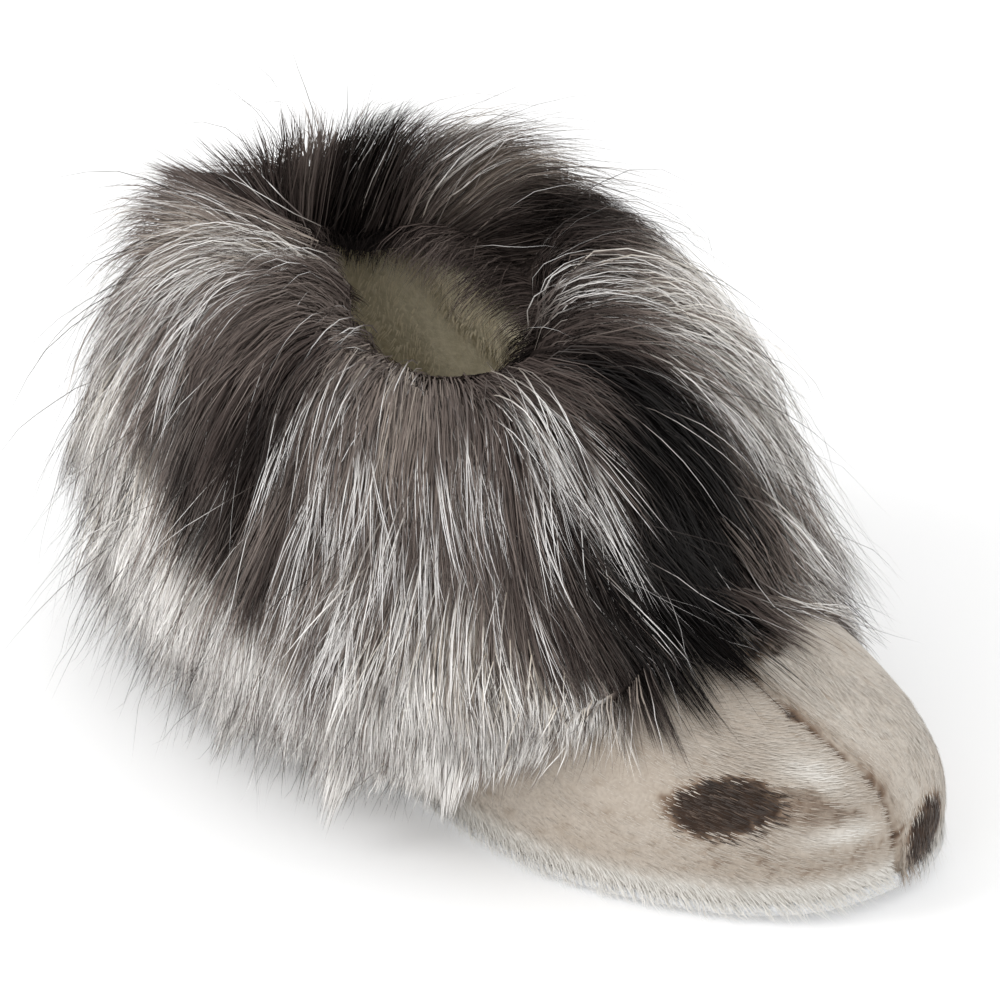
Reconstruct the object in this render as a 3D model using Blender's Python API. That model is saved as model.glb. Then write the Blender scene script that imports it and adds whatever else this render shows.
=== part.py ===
"""Ankle-high fur house slipper for the right foot: outsole, insole, hollow upper and long-haired fur cuff.

Metres, +Z up. The toe points along -Y and the big-toe side is +X. The origin is where the heel stands.
Every form is a stack of rings round the foot. A ring starts at the toe seam (angle 0) and runs
round the inner side (+X), the heel (angle pi) and the outer side back to the toe.
"""

import math

import bpy
import numpy as np
from mathutils import Matrix, Vector

# Driving sizes
LENGTH = 0.262
HEEL_REACH = 0.045
TOE_REACH = LENGTH - HEEL_REACH
LATERAL_HALF = 0.0550
MEDIAL_HALF = 0.0515
TOE_BLUNTNESS = 1.24
TOE_SKEW = 0.0038
WALL = 0.0030
GAP = 0.0003
PELT_GAP = 0.0008

# Collar: the oval at the top of the shaft
COLLAR_FRONT = -0.067
COLLAR_BACK = 0.036
COLLAR_HALF = 0.0370

# Sole: a shallow suede tray, folded up further on the inner side of the foot
SOLE_FLOOR = 0.0026
SOLE_RIM = 0.0024
SEAM_HEIGHT_LATERAL = 0.0046
SEAM_HEIGHT_MEDIAL = 0.0082
TOE_SPRING = 0.0030
TOE_SPRING_LENGTH = 0.034
ARCH_RISE = 0.0016
ARCH_START = -0.086
ARCH_END = -0.022
INSOLE_THICKNESS = 0.0058
INSOLE_CLEARANCE = 0.0008

# Toe seam: a groove between the two vamp panels, with the inner panel's edge standing a little proud
SEAM_DEPTH = 0.0013
SEAM_LIP = 0.0006
SEAM_LIP_ANGLE = 0.042

AROUND = 56
RINGS_BELOW_HEM = 9
RINGS_ABOVE_HEM = 6
CAP_COLUMNS = 4

# Sole seam in plan, from toe (along 0) to heel (along 1). The widths are shares of the ball's.
OUTLINE_COLUMNS = ("along", "lateral", "medial", "centre")
OUTLINE = (
    (0.00, 0.93, 1.05, 0.0060),
    (0.12, 1.00, 1.05, 0.0050),
    (0.30, 1.06, 1.02, 0.0030),
    (0.50, 0.94, 0.91, 0.0010),
    (0.70, 0.86, 0.90, 0.0000),
    (0.88, 0.86, 0.96, 0.0000),
    (1.00, 0.82, 0.92, 0.0000),
)

# Rise of the upper from the sole seam (row 0) to the collar (last row). "_in" is the share of the way
# in plan from the sole seam to the collar, "_up" is the height, at the toe, the sides and the heel.
# Near the seam the upper settles onto the sole's own height, by the step SEAM_SETTLES.
SEAM_UP = 0.0060
SEAM_SETTLES = 0.25
BLEND_POWER = 1.6
PLACES = ("toe_", "side_", "heel_")
RISE_COLUMNS = ("step", "toe_in", "toe_up", "side_in", "side_up", "heel_in", "heel_up")
RISE = (
    (0.00, 0.000, SEAM_UP, 0.000, SEAM_UP, 0.00, SEAM_UP),
    (0.12, -0.004, 0.0180, -0.030, 0.0170, -0.16, 0.0200),
    (0.24, 0.016, 0.0290, -0.030, 0.0290, -0.20, 0.0340),
    (0.36, 0.066, 0.0370, 0.040, 0.0405, -0.05, 0.0480),
    (0.48, 0.165, 0.0425, 0.170, 0.0520, 0.22, 0.0610),
    (0.60, 0.335, 0.0510, 0.390, 0.0630, 0.50, 0.0740),
    (0.72, 0.560, 0.0640, 0.680, 0.0750, 0.76, 0.0870),
    (0.86, 0.830, 0.0880, 0.900, 0.0940, 0.94, 0.1020),
    (1.00, 1.000, 0.1120, 1.000, 0.1140, 1.00, 0.1160),
)

# Edge profiles of the outsole and the insole. Columns: inset from the outline, share of the height.
TRAY_OUTSIDE = (
    (0.0000, 1.00),
    (-0.0006, 0.62),
    (0.0008, 0.22),
    (0.0050, 0.00),
)
PAD_EDGE = (
    (0.0012, 0.00),
    (0.0000, 0.28),
    (0.0002, 0.78),
    (0.0022, 1.00),
)

# Rise step at which the cuff's pelt is sewn on, at the toe, the sides and the heel
HEM_TOE = 0.72
HEM_SIDE = 0.41
HEM_HEEL = 0.44

# Fur cuff: its outer form, from the mouth over the crest and down to the hem. Each row stands off the
# upper at a rise step, so far outward and so far up, at the toe, the sides and the heel. On the inner
# side of the foot it lies closer, as far out as inner_out.
FUR_COLUMNS = (
    "row",
    "toe_step", "toe_out", "toe_up",
    "side_step", "side_out", "inner_out", "side_up",
    "heel_step", "heel_out", "heel_up",
)
FUR_BLEND_POWER = {"step": 1.6, "out": 1.6, "up": 1.0}
FUR = (
    (0, 1.00, -0.002, 0.007, 1.00, -0.006, -0.006, 0.009, 1.00, -0.006, 0.008),
    (1, 1.00, 0.003, 0.013, 1.00, 0.000, 0.000, 0.018, 1.00, -0.001, 0.012),
    (2, 0.99, 0.012, 0.016, 1.00, 0.010, 0.010, 0.025, 1.00, 0.008, 0.014),
    (3, 0.96, 0.022, 0.014, 0.98, 0.025, 0.026, 0.019, 0.98, 0.019, 0.007),
    (4, 0.91, 0.026, 0.008, 0.91, 0.034, 0.035, 0.006, 0.91, 0.026, -0.004),
    (5, 0.86, 0.026, 0.003, 0.79, 0.037, 0.034, -0.004, 0.79, 0.029, -0.009),
    (6, 0.80, 0.022, 0.000, 0.64, 0.035, 0.027, -0.013, 0.65, 0.030, -0.015),
    (7, 0.74, 0.014, -0.001, 0.46, 0.027, 0.021, -0.021, 0.49, 0.026, -0.023),
    (8, HEM_TOE, 0.006, 0.003, HEM_SIDE, 0.011, 0.010, -0.012, HEM_HEEL, 0.012, -0.013),
)

# Locks of hair drawn out of the cuff's form between two of its rows, on every face or every second
# face round it. "lift" is the angle off the upper's own downhill line, in degrees, at root and tip.
# Columns: row, every, first, length at sides and heel, length at toe, root lift, tip lift.
LOCKS = (
    (1, 2, 0, 0.015, 0.010, 140, 112),
    (2, 2, 1, 0.020, 0.014, 112, 72),
    (3, 2, 0, 0.020, 0.015, 78, 34),
    (4, 2, 1, 0.021, 0.015, 50, 17),
    (5, 2, 0, 0.023, 0.015, 34, 10),
    (6, 1, 0, 0.042, 0.018, 26, 13),
)
LOCK_TAPER = (0.84, 0.54)
LOCK_THICKNESS = 0.3
LOCK_STANDS_OFF = 0.3
LOCK_LEAST_LIFT = 0.2
LOCK_LEAST_STRIDE = 0.001
DOWNHILL_STEP = 0.2
LOCK_WEIGHT = 0.15
LOCK_LENGTH_SPREAD = 0.25
LENGTH_BLEND_POWER = 0.7
LOCK_TURN_SPREAD = 3
FLOOR_CLEARANCE = 0.004
SEED = 11


def read(table, columns, column, at):
    """Value of a named column at a place given by the table's first column, along a smooth curve."""
    rows = np.array(table)
    place, value = rows[:, 0], rows[:, columns.index(column)]
    slope = np.gradient(value, place)
    at = np.clip(np.asarray(at, dtype=float), place[0], place[-1])
    row = np.clip(np.searchsorted(place, at) - 1, 0, len(place) - 2)
    span = place[row + 1] - place[row]
    t = (at - place[row]) / span
    rising = t * t * (3 - 2 * t)
    start = t * (1 - t) ** 2 * span * slope[row]
    end = t * t * (t - 1) * span * slope[row + 1]
    return value[row] * (1 - rising) + value[row + 1] * rising + start + end


def ring_angles():
    """Evenly spaced angles, with one more on each side of the toe seam for its two lips."""
    even = np.linspace(0, 2 * math.pi, AROUND, endpoint=False)
    return np.sort(np.concatenate((even, (SEAM_LIP_ANGLE, 2 * math.pi - SEAM_LIP_ANGLE))))


def sole_seam(angles):
    """Plan outline of the seam between sole and upper."""
    along = ((1 - np.cos(angles)) / 2) ** TOE_BLUNTNESS
    lateral = read(OUTLINE, OUTLINE_COLUMNS, "lateral", along) * LATERAL_HALF
    medial = read(OUTLINE, OUTLINE_COLUMNS, "medial", along) * MEDIAL_HALF
    half = np.where(np.sin(angles) > 0, medial, lateral)
    x = read(OUTLINE, OUTLINE_COLUMNS, "centre", along) + half * np.sin(angles)
    y = -TOE_REACH + along * LENGTH - TOE_SKEW * np.sin(angles) * (1 - along) ** 2
    return np.stack((x, y), axis=1)


def collar(angles):
    """Plan outline of the collar rim."""
    middle = (COLLAR_FRONT + COLLAR_BACK) / 2
    reach = (COLLAR_BACK - COLLAR_FRONT) / 2
    return np.stack((COLLAR_HALF * np.sin(angles), middle - reach * np.cos(angles)), axis=1)


def ground(x, y):
    """Height of the sole's underside: flat at heel and forefoot, sprung at the toe, arched between."""
    toe = np.clip((-TOE_REACH + TOE_SPRING_LENGTH - y) / TOE_SPRING_LENGTH, 0, 1)
    waist = np.clip((y - ARCH_START) / (ARCH_END - ARCH_START), 0, 1)
    inner = np.clip(x / MEDIAL_HALF, 0, 1)
    return TOE_SPRING * toe ** 2 + ARCH_RISE * np.sin(math.pi * waist) ** 2 * inner


def above_ground(height):
    """Function of a place in plan that gives a height above the sole's underside."""
    return lambda x, y: ground(x, y) + height


def seam_height(angles):
    """Height of the sole's folded rim above the underside."""
    inner = (1 + np.sin(angles)) / 2
    return SEAM_HEIGHT_LATERAL + (SEAM_HEIGHT_MEDIAL - SEAM_HEIGHT_LATERAL) * inner


def blend(angles, toe_value, side_value, heel_value, power=BLEND_POWER):
    """Value that passes smoothly round the ring from the toe to the sides to the heel."""
    toe = np.clip(np.cos(angles), 0, 1) ** power
    heel = np.clip(-np.cos(angles), 0, 1) ** power
    return toe * toe_value + heel * heel_value + (1 - toe - heel) * side_value


def rise(angles, steps, kind):
    """A rise column ("in" or "up") at one step for each angle."""
    values = [read(RISE, RISE_COLUMNS, place + kind, steps) for place in PLACES]
    return blend(angles, *values)


def last_ring(angles, steps):
    """One ring of the upper's outer form, at steps from 0 (sole seam) to 1 (collar rim)."""
    low, high = sole_seam(angles), collar(angles)
    inward = rise(angles, steps, "in")[:, None]
    plan = low * (1 - inward) + high * inward
    bottom = ground(low[:, 0], low[:, 1]) + seam_height(angles) + GAP
    settle = np.clip(1 - steps / SEAM_SETTLES, 0, 1)
    return np.column_stack((plan, rise(angles, steps, "up") + (bottom - SEAM_UP) * settle))


def last_surface(angles):
    """All rings of the outer form, from the sole seam up; one of them lies under the cuff's hem."""
    hem = blend(angles, HEM_TOE, HEM_SIDE, HEM_HEEL)
    below = [hem * share for share in np.linspace(0, 1, RINGS_BELOW_HEM)]
    above = [hem + (1 - hem) * share for share in np.linspace(0, 1, RINGS_ABOVE_HEM)[1:]]
    return np.array([last_ring(angles, steps) for steps in below + above])


def outward(surface):
    """Outward unit normals of a stack of rings; level at its two edges."""
    around = np.roll(surface, -1, axis=1) - np.roll(surface, 1, axis=1)
    rise = np.gradient(surface, axis=0)
    normal = np.cross(around, rise)
    normal[0, :, 2] = 0
    normal[-1, :, 2] = 0
    return normal / np.linalg.norm(normal, axis=2, keepdims=True)


def material(name, colour, roughness):
    """Principled material with one colour."""
    result = bpy.data.materials.new(name)
    result.use_nodes = True
    shader = result.node_tree.nodes["Principled BSDF"]
    shader.inputs["Base Color"].default_value = (*colour, 1.0)
    shader.inputs["Roughness"].default_value = roughness
    shader.inputs["Metallic"].default_value = 0.0
    return result


def add_object(name, points, faces, finish):
    """Object from points and faces, smooth-shaded and facing out."""
    mesh = bpy.data.meshes.new(name)
    mesh.from_pydata([tuple(map(float, point)) for point in points], [], faces)
    mesh.validate()
    mesh.shade_smooth()
    mesh.set_sharp_from_angle(angle=math.radians(50))
    mesh.materials.append(finish)
    result = bpy.data.objects.new(name, mesh)
    bpy.context.scene.collection.objects.link(result)
    return result


def band(first, second, count):
    """Quads between two rings, given by the index of each ring's first point."""
    return [
        (first + j, first + (j + 1) % count, second + (j + 1) % count, second + j)
        for j in range(count)
    ]


def stack_faces(ring_total, count, closed):
    """Quads of a stack of rings; a closed stack also joins its last ring to its first."""
    faces = []
    for ring in range(ring_total if closed else ring_total - 1):
        faces += band(ring * count, ((ring + 1) % ring_total) * count, count)
    return faces


def cap(rim, start, height, base, facing_up):
    """Cap across a ring: strips from the inner to the outer side, at a height given by a function.

    Returns the cap's new points, which start at index base, and its faces on the ring at index start.
    """
    count = len(rim)
    half = count // 2
    points, rows = [], [[start]]
    for j in range(1, half):
        inner, outer = rim[j], rim[count - j]
        row = [start + j]
        for column in range(1, CAP_COLUMNS):
            x, y, _ = inner + (outer - inner) * column / CAP_COLUMNS
            row.append(base + len(points))
            points.append((x, y, height(x, y)))
        rows.append(row + [start + count - j])
    rows.append([start + half])
    faces = []
    for front, back in zip(rows, rows[1:]):
        if len(front) == 1:
            faces += [(front[0], back[i], back[i + 1]) for i in range(CAP_COLUMNS)]
        elif len(back) == 1:
            faces += [(front[i], back[0], front[i + 1]) for i in range(CAP_COLUMNS)]
        else:
            faces += [(front[i], back[i], back[i + 1], front[i + 1]) for i in range(CAP_COLUMNS)]
    if not facing_up:
        faces = [face[::-1] for face in faces]
    return points, faces


def inset_ring(angles, inset):
    """Sole seam in plan, moved inward by a distance."""
    line = sole_seam(angles)
    along = np.roll(line, -1, axis=0) - np.roll(line, 1, axis=0)
    inward = np.stack((-along[:, 1], along[:, 0]), axis=1)
    return line + inset * inward / np.linalg.norm(inward, axis=1, keepdims=True)


def seam_relief(angles):
    """How far the upper stands off the last's form round a ring: a groove, then the inner panel's edge."""
    relief = np.zeros(len(angles))
    relief[0] = -SEAM_DEPTH
    relief[1] = SEAM_LIP
    relief[2] = SEAM_LIP / 2
    return relief


def build_upper(angles):
    """Hollow upper: the last's form with the toe seam's groove, and the same form a wall further in."""
    form = last_surface(angles)
    normal = outward(form)
    outside = form + normal * seam_relief(angles)[None, :, None]
    inside = form - normal * WALL
    rings = np.concatenate((outside, inside[::-1]))
    faces = stack_faces(len(rings), len(angles), closed=True)
    finish = material("hair_hide", (0.52, 0.46, 0.41), 0.75)
    return add_object("upper", rings.reshape(-1, 3), faces, finish)


def build_outsole(angles):
    """Suede tray: flat where heel and forefoot stand, rolled up round the edge to the seam."""
    top = seam_height(angles)
    outside = []
    for inset, share in TRAY_OUTSIDE:
        plan = inset_ring(angles, inset)
        outside.append(np.column_stack((plan, ground(plan[:, 0], plan[:, 1]) + share * top)))
    rim = inset_ring(angles, SOLE_RIM)
    edge = inset_ring(angles, SOLE_RIM + SOLE_FLOOR / 4)
    rim_base = ground(rim[:, 0], rim[:, 1])
    inside = [
        np.column_stack((rim, ground(*sole_seam(angles).T) + top)),
        np.column_stack((edge, rim_base + SOLE_FLOOR)),
    ]
    rings = outside[::-1] + inside
    count = len(angles)
    points = list(np.concatenate(rings))
    faces = stack_faces(len(rings), count, closed=False)
    under, under_faces = cap(rings[0], 0, ground, len(points), facing_up=False)
    points += under
    start = (len(rings) - 1) * count
    floor, floor_faces = cap(rings[-1], start, above_ground(SOLE_FLOOR), len(points), facing_up=True)
    finish = material("suede_sole", (0.80, 0.81, 0.82), 0.95)
    return add_object("outsole", points + floor, faces + under_faces + floor_faces, finish)


def build_insole(angles):
    """Pile footbed resting in the tray."""
    bottom = SOLE_FLOOR + GAP
    rings = []
    for inset, share in PAD_EDGE:
        plan = inset_ring(angles, WALL + INSOLE_CLEARANCE + inset)
        rise = ground(plan[:, 0], plan[:, 1]) + bottom + share * INSOLE_THICKNESS
        rings.append(np.column_stack((plan, rise)))
    count = len(angles)
    points = list(np.concatenate(rings))
    faces = stack_faces(len(rings), count, closed=False)
    under, under_faces = cap(rings[0], 0, above_ground(bottom), len(points), facing_up=False)
    points += under
    start = (len(rings) - 1) * count
    top = above_ground(bottom + INSOLE_THICKNESS)
    face, face_faces = cap(rings[-1], start, top, len(points), facing_up=True)
    finish = material("cream_pile", (0.74, 0.70, 0.58), 0.95)
    return add_object("insole", points + face, faces + under_faces + face_faces, finish)


def fur_value(angles, row, kind):
    """A fur column at one row, for each angle."""
    toe, side, heel = (FUR[row][FUR_COLUMNS.index(place + kind)] for place in PLACES)
    if kind == "out":
        side = np.where(np.sin(angles) > 0, FUR[row][FUR_COLUMNS.index("inner_out")], side)
    return blend(angles, toe, side, heel, FUR_BLEND_POWER[kind])


def fur_form(angles):
    """Rings of the cuff's outer form, from the mouth over the crest to the hem."""
    away = np.stack((np.sin(angles), -np.cos(angles), np.zeros(len(angles))), axis=1)
    rings = []
    for row in range(len(FUR)):
        ring = last_ring(angles, fur_value(angles, row, "step"))
        ring += away * fur_value(angles, row, "out")[:, None]
        ring[:, 2] += fur_value(angles, row, "up")
        rings.append(ring)
    return rings


def pelt_form(angles):
    """Rings of the cuff's pelt side, a gap clear of the upper, from the hem up to the collar."""
    form = last_surface(angles)
    stand_off = np.maximum(seam_relief(angles), 0) + PELT_GAP
    clear = form + outward(form) * stand_off[None, :, None]
    return list(clear[RINGS_BELOW_HEM - 1:])


def hair_directions(angles, row):
    """Downhill and outward unit directions of the upper under one row of the cuff, for each angle."""
    steps = fur_value(angles, row, "step")
    here, lower = last_ring(angles, steps), last_ring(angles, steps - DOWNHILL_STEP)
    downhill = (lower - here) / np.linalg.norm(lower - here, axis=1, keepdims=True)
    downhill[:, 2] -= blend(angles, 0, LOCK_WEIGHT, LOCK_WEIGHT)
    downhill /= np.linalg.norm(downhill, axis=1, keepdims=True)
    around = np.roll(here, -1, axis=0) - np.roll(here, 1, axis=0)
    away = np.cross(around, -downhill)
    return downhill, away / np.linalg.norm(away, axis=1, keepdims=True)


def lock_spine(root, normal, downhill, away, lengths, lifts, spread):
    """Points and directions along one lock, from its root out and then down under its own weight."""
    length = lengths * (1 + LOCK_LENGTH_SPREAD * spread[0])
    turn = Matrix.Rotation(math.radians(LOCK_TURN_SPREAD) * spread[1], 3, "Z")
    steps = len(LOCK_TAPER) + 1
    point, spine = root, []
    for step in range(steps):
        share = step / (steps - 1)
        lift = math.radians(lifts[0] * (1 - share) + lifts[1] * share)
        way = np.array(turn @ Vector(downhill * math.cos(lift) + away * math.sin(lift)))
        way += normal * max(LOCK_STANDS_OFF * (1 - share), LOCK_LEAST_LIFT - way @ normal)
        way /= np.linalg.norm(way)
        stride = length / steps
        if way[2] < 0:
            room = (point[2] - FLOOR_CLEARANCE) / (steps - step) / -way[2]
            stride = min(stride, max(LOCK_LEAST_STRIDE, room))
        point = point + way * stride
        spine.append((point, way))
    return spine


def draw_lock(points, corners, normal, spine):
    """Faces of one tapering lock drawn out of a four-cornered face; its points are added to the list."""
    centre = sum(points[corner] for corner in corners) / 4
    low, high = corners[:2], corners[2:]
    down = sum(points[corner] for corner in low) - sum(points[corner] for corner in high)
    down /= np.linalg.norm(down)
    offsets = [points[corner] - centre for corner in corners]
    offsets = [Vector(offset - down * (offset @ down) * (1 - LOCK_THICKNESS)) for offset in offsets]
    faces, ring = [], list(corners)
    for (place, way), taper in zip(spine, LOCK_TAPER):
        start = len(points)
        turn = Vector(normal).rotation_difference(Vector(way))
        points += [place + np.array(turn @ offset) * taper for offset in offsets]
        next_ring = [start + i for i in range(4)]
        faces += [(ring[i], ring[(i + 1) % 4], next_ring[(i + 1) % 4], next_ring[i]) for i in range(4)]
        ring = next_ring
    tip = len(points)
    points.append(spine[-1][0])
    faces += [(ring[i], ring[(i + 1) % 4], tip) for i in range(4)]
    return faces


def face_normal(points, corners):
    """Unit normal of a four-cornered face."""
    first, second, third, fourth = (points[corner] for corner in corners)
    normal = np.cross(third - first, fourth - second)
    return normal / np.linalg.norm(normal)


def build_fur_cuff(angles):
    """Deep fur ring: one closed form round the shaft with its locks drawn out of its own faces.

    Its pelt side has the upper's own angles, and its outer side as many, evenly spaced.
    """
    count = len(angles)
    even = np.linspace(0, 2 * math.pi, count, endpoint=False)
    rings = fur_form(even) + pelt_form(angles)
    points = list(np.concatenate(rings))
    faces = [face[::-1] for face in stack_faces(len(rings), count, closed=True)]
    chance = np.random.default_rng(SEED)
    removed, added = set(), []
    for lock in LOCKS:
        row, every, first, side_length, toe_length, root_lift, tip_lift = lock
        lengths = blend(even, toe_length, side_length, side_length, LENGTH_BLEND_POWER)
        downhill, away = hair_directions(even, row)
        for j in range(first, count, every):
            spread = chance.uniform(-1, 1, 2)
            index = row * count + j
            corners = faces[index]
            root = sum(points[corner] for corner in corners) / 4
            normal = face_normal(points, corners)
            lifts = (root_lift, tip_lift)
            spine = lock_spine(root, normal, downhill[j], away[j], lengths[j], lifts, spread)
            removed.add(index)
            added += draw_lock(points, corners, normal, spine)
    kept = [face for index, face in enumerate(faces) if index not in removed]
    finish = material("long_fur", (0.20, 0.17, 0.16), 0.85)
    return add_object("fur_cuff", points, kept + added, finish)


def main():
    for item in list(bpy.data.objects):
        bpy.data.objects.remove(item, do_unlink=True)
    angles = ring_angles()
    build_outsole(angles)
    build_insole(angles)
    build_upper(angles)
    build_fur_cuff(angles)


main()
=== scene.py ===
"""Looks of the fur house slipper: short-haired hide, toe seam, long fox fur, pile lining and suede sole.

Metres, +Z up, in the solids' own frame. The toe points along -Y and the big-toe side is +X. Angles run
round the foot from the toe seam (0) over the inner side (+X) and the heel (pi) to the outer side.
"""

import math

import bpy
import numpy as np
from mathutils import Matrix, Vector
from mathutils.bvhtree import BVHTree
from mathutils.kdtree import KDTree


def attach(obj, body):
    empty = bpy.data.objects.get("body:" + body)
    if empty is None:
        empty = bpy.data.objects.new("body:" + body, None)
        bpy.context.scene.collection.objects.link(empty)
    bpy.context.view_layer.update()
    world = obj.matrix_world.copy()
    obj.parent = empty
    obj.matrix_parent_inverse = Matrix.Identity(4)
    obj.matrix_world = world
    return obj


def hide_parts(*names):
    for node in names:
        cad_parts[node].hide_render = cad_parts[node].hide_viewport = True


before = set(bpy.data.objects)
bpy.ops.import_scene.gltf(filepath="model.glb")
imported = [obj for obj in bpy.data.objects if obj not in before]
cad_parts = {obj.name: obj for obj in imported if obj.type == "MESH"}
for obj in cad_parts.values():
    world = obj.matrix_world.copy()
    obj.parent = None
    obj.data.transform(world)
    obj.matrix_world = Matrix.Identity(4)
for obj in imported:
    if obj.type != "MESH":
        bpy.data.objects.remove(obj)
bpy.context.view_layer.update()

MM = 0.001

# ---------------------------------------------------------------- the last, as in the solids
LENGTH = 0.262
HEEL_REACH = 0.045
TOE_REACH = LENGTH - HEEL_REACH
LATERAL_HALF = 0.0550
MEDIAL_HALF = 0.0515
TOE_BLUNTNESS = 1.24
TOE_SKEW = 0.0038
WALL = 0.0030
GAP = 0.0003
COLLAR_FRONT = -0.067
COLLAR_BACK = 0.036
COLLAR_HALF = 0.0370
SOLE_FLOOR = 0.0026
SOLE_RIM = 0.0024
SEAM_HEIGHT_LATERAL = 0.0046
SEAM_HEIGHT_MEDIAL = 0.0082
TOE_SPRING = 0.0030
TOE_SPRING_LENGTH = 0.034
ARCH_RISE = 0.0016
ARCH_START = -0.086
ARCH_END = -0.022
INSOLE_THICKNESS = 0.0058
INSOLE_CLEARANCE = 0.0008
BLEND_POWER = 1.6
PLACES = ("toe_", "side_", "heel_")
OUTLINE_COLUMNS = ("along", "lateral", "medial", "centre")
OUTLINE = (
    (0.00, 0.93, 1.05, 0.0060),
    (0.12, 1.00, 1.05, 0.0050),
    (0.30, 1.06, 1.02, 0.0030),
    (0.50, 0.94, 0.91, 0.0010),
    (0.70, 0.86, 0.90, 0.0000),
    (0.88, 0.86, 0.96, 0.0000),
    (1.00, 0.82, 0.92, 0.0000),
)
SEAM_UP = 0.0060
SEAM_SETTLES = 0.25
RISE_COLUMNS = ("step", "toe_in", "toe_up", "side_in", "side_up", "heel_in", "heel_up")
RISE = (
    (0.00, 0.000, SEAM_UP, 0.000, SEAM_UP, 0.00, SEAM_UP),
    (0.12, -0.004, 0.0180, -0.030, 0.0170, -0.16, 0.0200),
    (0.24, 0.016, 0.0290, -0.030, 0.0290, -0.20, 0.0340),
    (0.36, 0.066, 0.0370, 0.040, 0.0405, -0.05, 0.0480),
    (0.48, 0.165, 0.0425, 0.170, 0.0520, 0.22, 0.0610),
    (0.60, 0.335, 0.0510, 0.390, 0.0630, 0.50, 0.0740),
    (0.72, 0.560, 0.0640, 0.680, 0.0750, 0.76, 0.0870),
    (0.86, 0.830, 0.0880, 0.900, 0.0940, 0.94, 0.1020),
    (1.00, 1.000, 0.1120, 1.000, 0.1140, 1.00, 0.1160),
)
HEM_TOE, HEM_SIDE, HEM_HEEL = 0.72, 0.41, 0.44
FUR_COLUMNS = (
    "row",
    "toe_step", "toe_out", "toe_up",
    "side_step", "side_out", "inner_out", "side_up",
    "heel_step", "heel_out", "heel_up",
)
FUR_BLEND_POWER = {"step": 1.6, "out": 1.6, "up": 1.0}
FUR = (
    (0, 1.00, -0.002, 0.007, 1.00, -0.006, -0.006, 0.009, 1.00, -0.006, 0.008),
    (1, 1.00, 0.003, 0.013, 1.00, 0.000, 0.000, 0.018, 1.00, -0.001, 0.012),
    (2, 0.99, 0.012, 0.016, 1.00, 0.010, 0.010, 0.025, 1.00, 0.008, 0.014),
    (3, 0.96, 0.022, 0.014, 0.98, 0.025, 0.026, 0.019, 0.98, 0.019, 0.007),
    (4, 0.91, 0.026, 0.008, 0.91, 0.034, 0.035, 0.006, 0.91, 0.026, -0.004),
    (5, 0.86, 0.026, 0.003, 0.79, 0.037, 0.034, -0.004, 0.79, 0.029, -0.009),
    (6, 0.80, 0.022, 0.000, 0.64, 0.035, 0.027, -0.013, 0.65, 0.030, -0.015),
    (7, 0.74, 0.014, -0.001, 0.46, 0.027, 0.021, -0.021, 0.49, 0.026, -0.023),
    (8, HEM_TOE, 0.006, 0.003, HEM_SIDE, 0.011, 0.010, -0.012, HEM_HEEL, 0.012, -0.013),
)


def read(table, columns, column, at):
    """Value of a named column at a place given by the table's first column, along a smooth curve."""
    rows = np.array(table)
    place, value = rows[:, 0], rows[:, columns.index(column)]
    slope = np.gradient(value, place)
    at = np.clip(np.asarray(at, dtype=float), place[0], place[-1])
    row = np.clip(np.searchsorted(place, at) - 1, 0, len(place) - 2)
    span = place[row + 1] - place[row]
    t = (at - place[row]) / span
    rising = t * t * (3 - 2 * t)
    start = t * (1 - t) ** 2 * span * slope[row]
    end = t * t * (t - 1) * span * slope[row + 1]
    return value[row] * (1 - rising) + value[row + 1] * rising + start + end


def blend(angles, toe_value, side_value, heel_value, power=BLEND_POWER):
    """Value that passes smoothly round the foot from the toe to the sides to the heel."""
    toe = np.clip(np.cos(angles), 0, 1) ** power
    heel = np.clip(-np.cos(angles), 0, 1) ** power
    return toe * toe_value + heel * heel_value + (1 - toe - heel) * side_value


def sole_seam(angles):
    """Plan outline of the seam between sole and upper."""
    along = ((1 - np.cos(angles)) / 2) ** TOE_BLUNTNESS
    lateral = read(OUTLINE, OUTLINE_COLUMNS, "lateral", along) * LATERAL_HALF
    medial = read(OUTLINE, OUTLINE_COLUMNS, "medial", along) * MEDIAL_HALF
    half = np.where(np.sin(angles) > 0, medial, lateral)
    x = read(OUTLINE, OUTLINE_COLUMNS, "centre", along) + half * np.sin(angles)
    y = -TOE_REACH + along * LENGTH - TOE_SKEW * np.sin(angles) * (1 - along) ** 2
    return np.stack((x, y), axis=-1)


def collar(angles):
    """Plan outline of the collar rim."""
    middle = (COLLAR_FRONT + COLLAR_BACK) / 2
    reach = (COLLAR_BACK - COLLAR_FRONT) / 2
    return np.stack((COLLAR_HALF * np.sin(angles), middle - reach * np.cos(angles)), axis=-1)


def ground(x, y):
    """Height of the sole's underside: flat at heel and forefoot, sprung at the toe, arched between."""
    toe = np.clip((-TOE_REACH + TOE_SPRING_LENGTH - y) / TOE_SPRING_LENGTH, 0, 1)
    waist = np.clip((y - ARCH_START) / (ARCH_END - ARCH_START), 0, 1)
    inner = np.clip(x / MEDIAL_HALF, 0, 1)
    return TOE_SPRING * toe ** 2 + ARCH_RISE * np.sin(math.pi * waist) ** 2 * inner


def seam_height(angles):
    """Height of the sole's folded rim above the underside."""
    inner = (1 + np.sin(angles)) / 2
    return SEAM_HEIGHT_LATERAL + (SEAM_HEIGHT_MEDIAL - SEAM_HEIGHT_LATERAL) * inner


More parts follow.
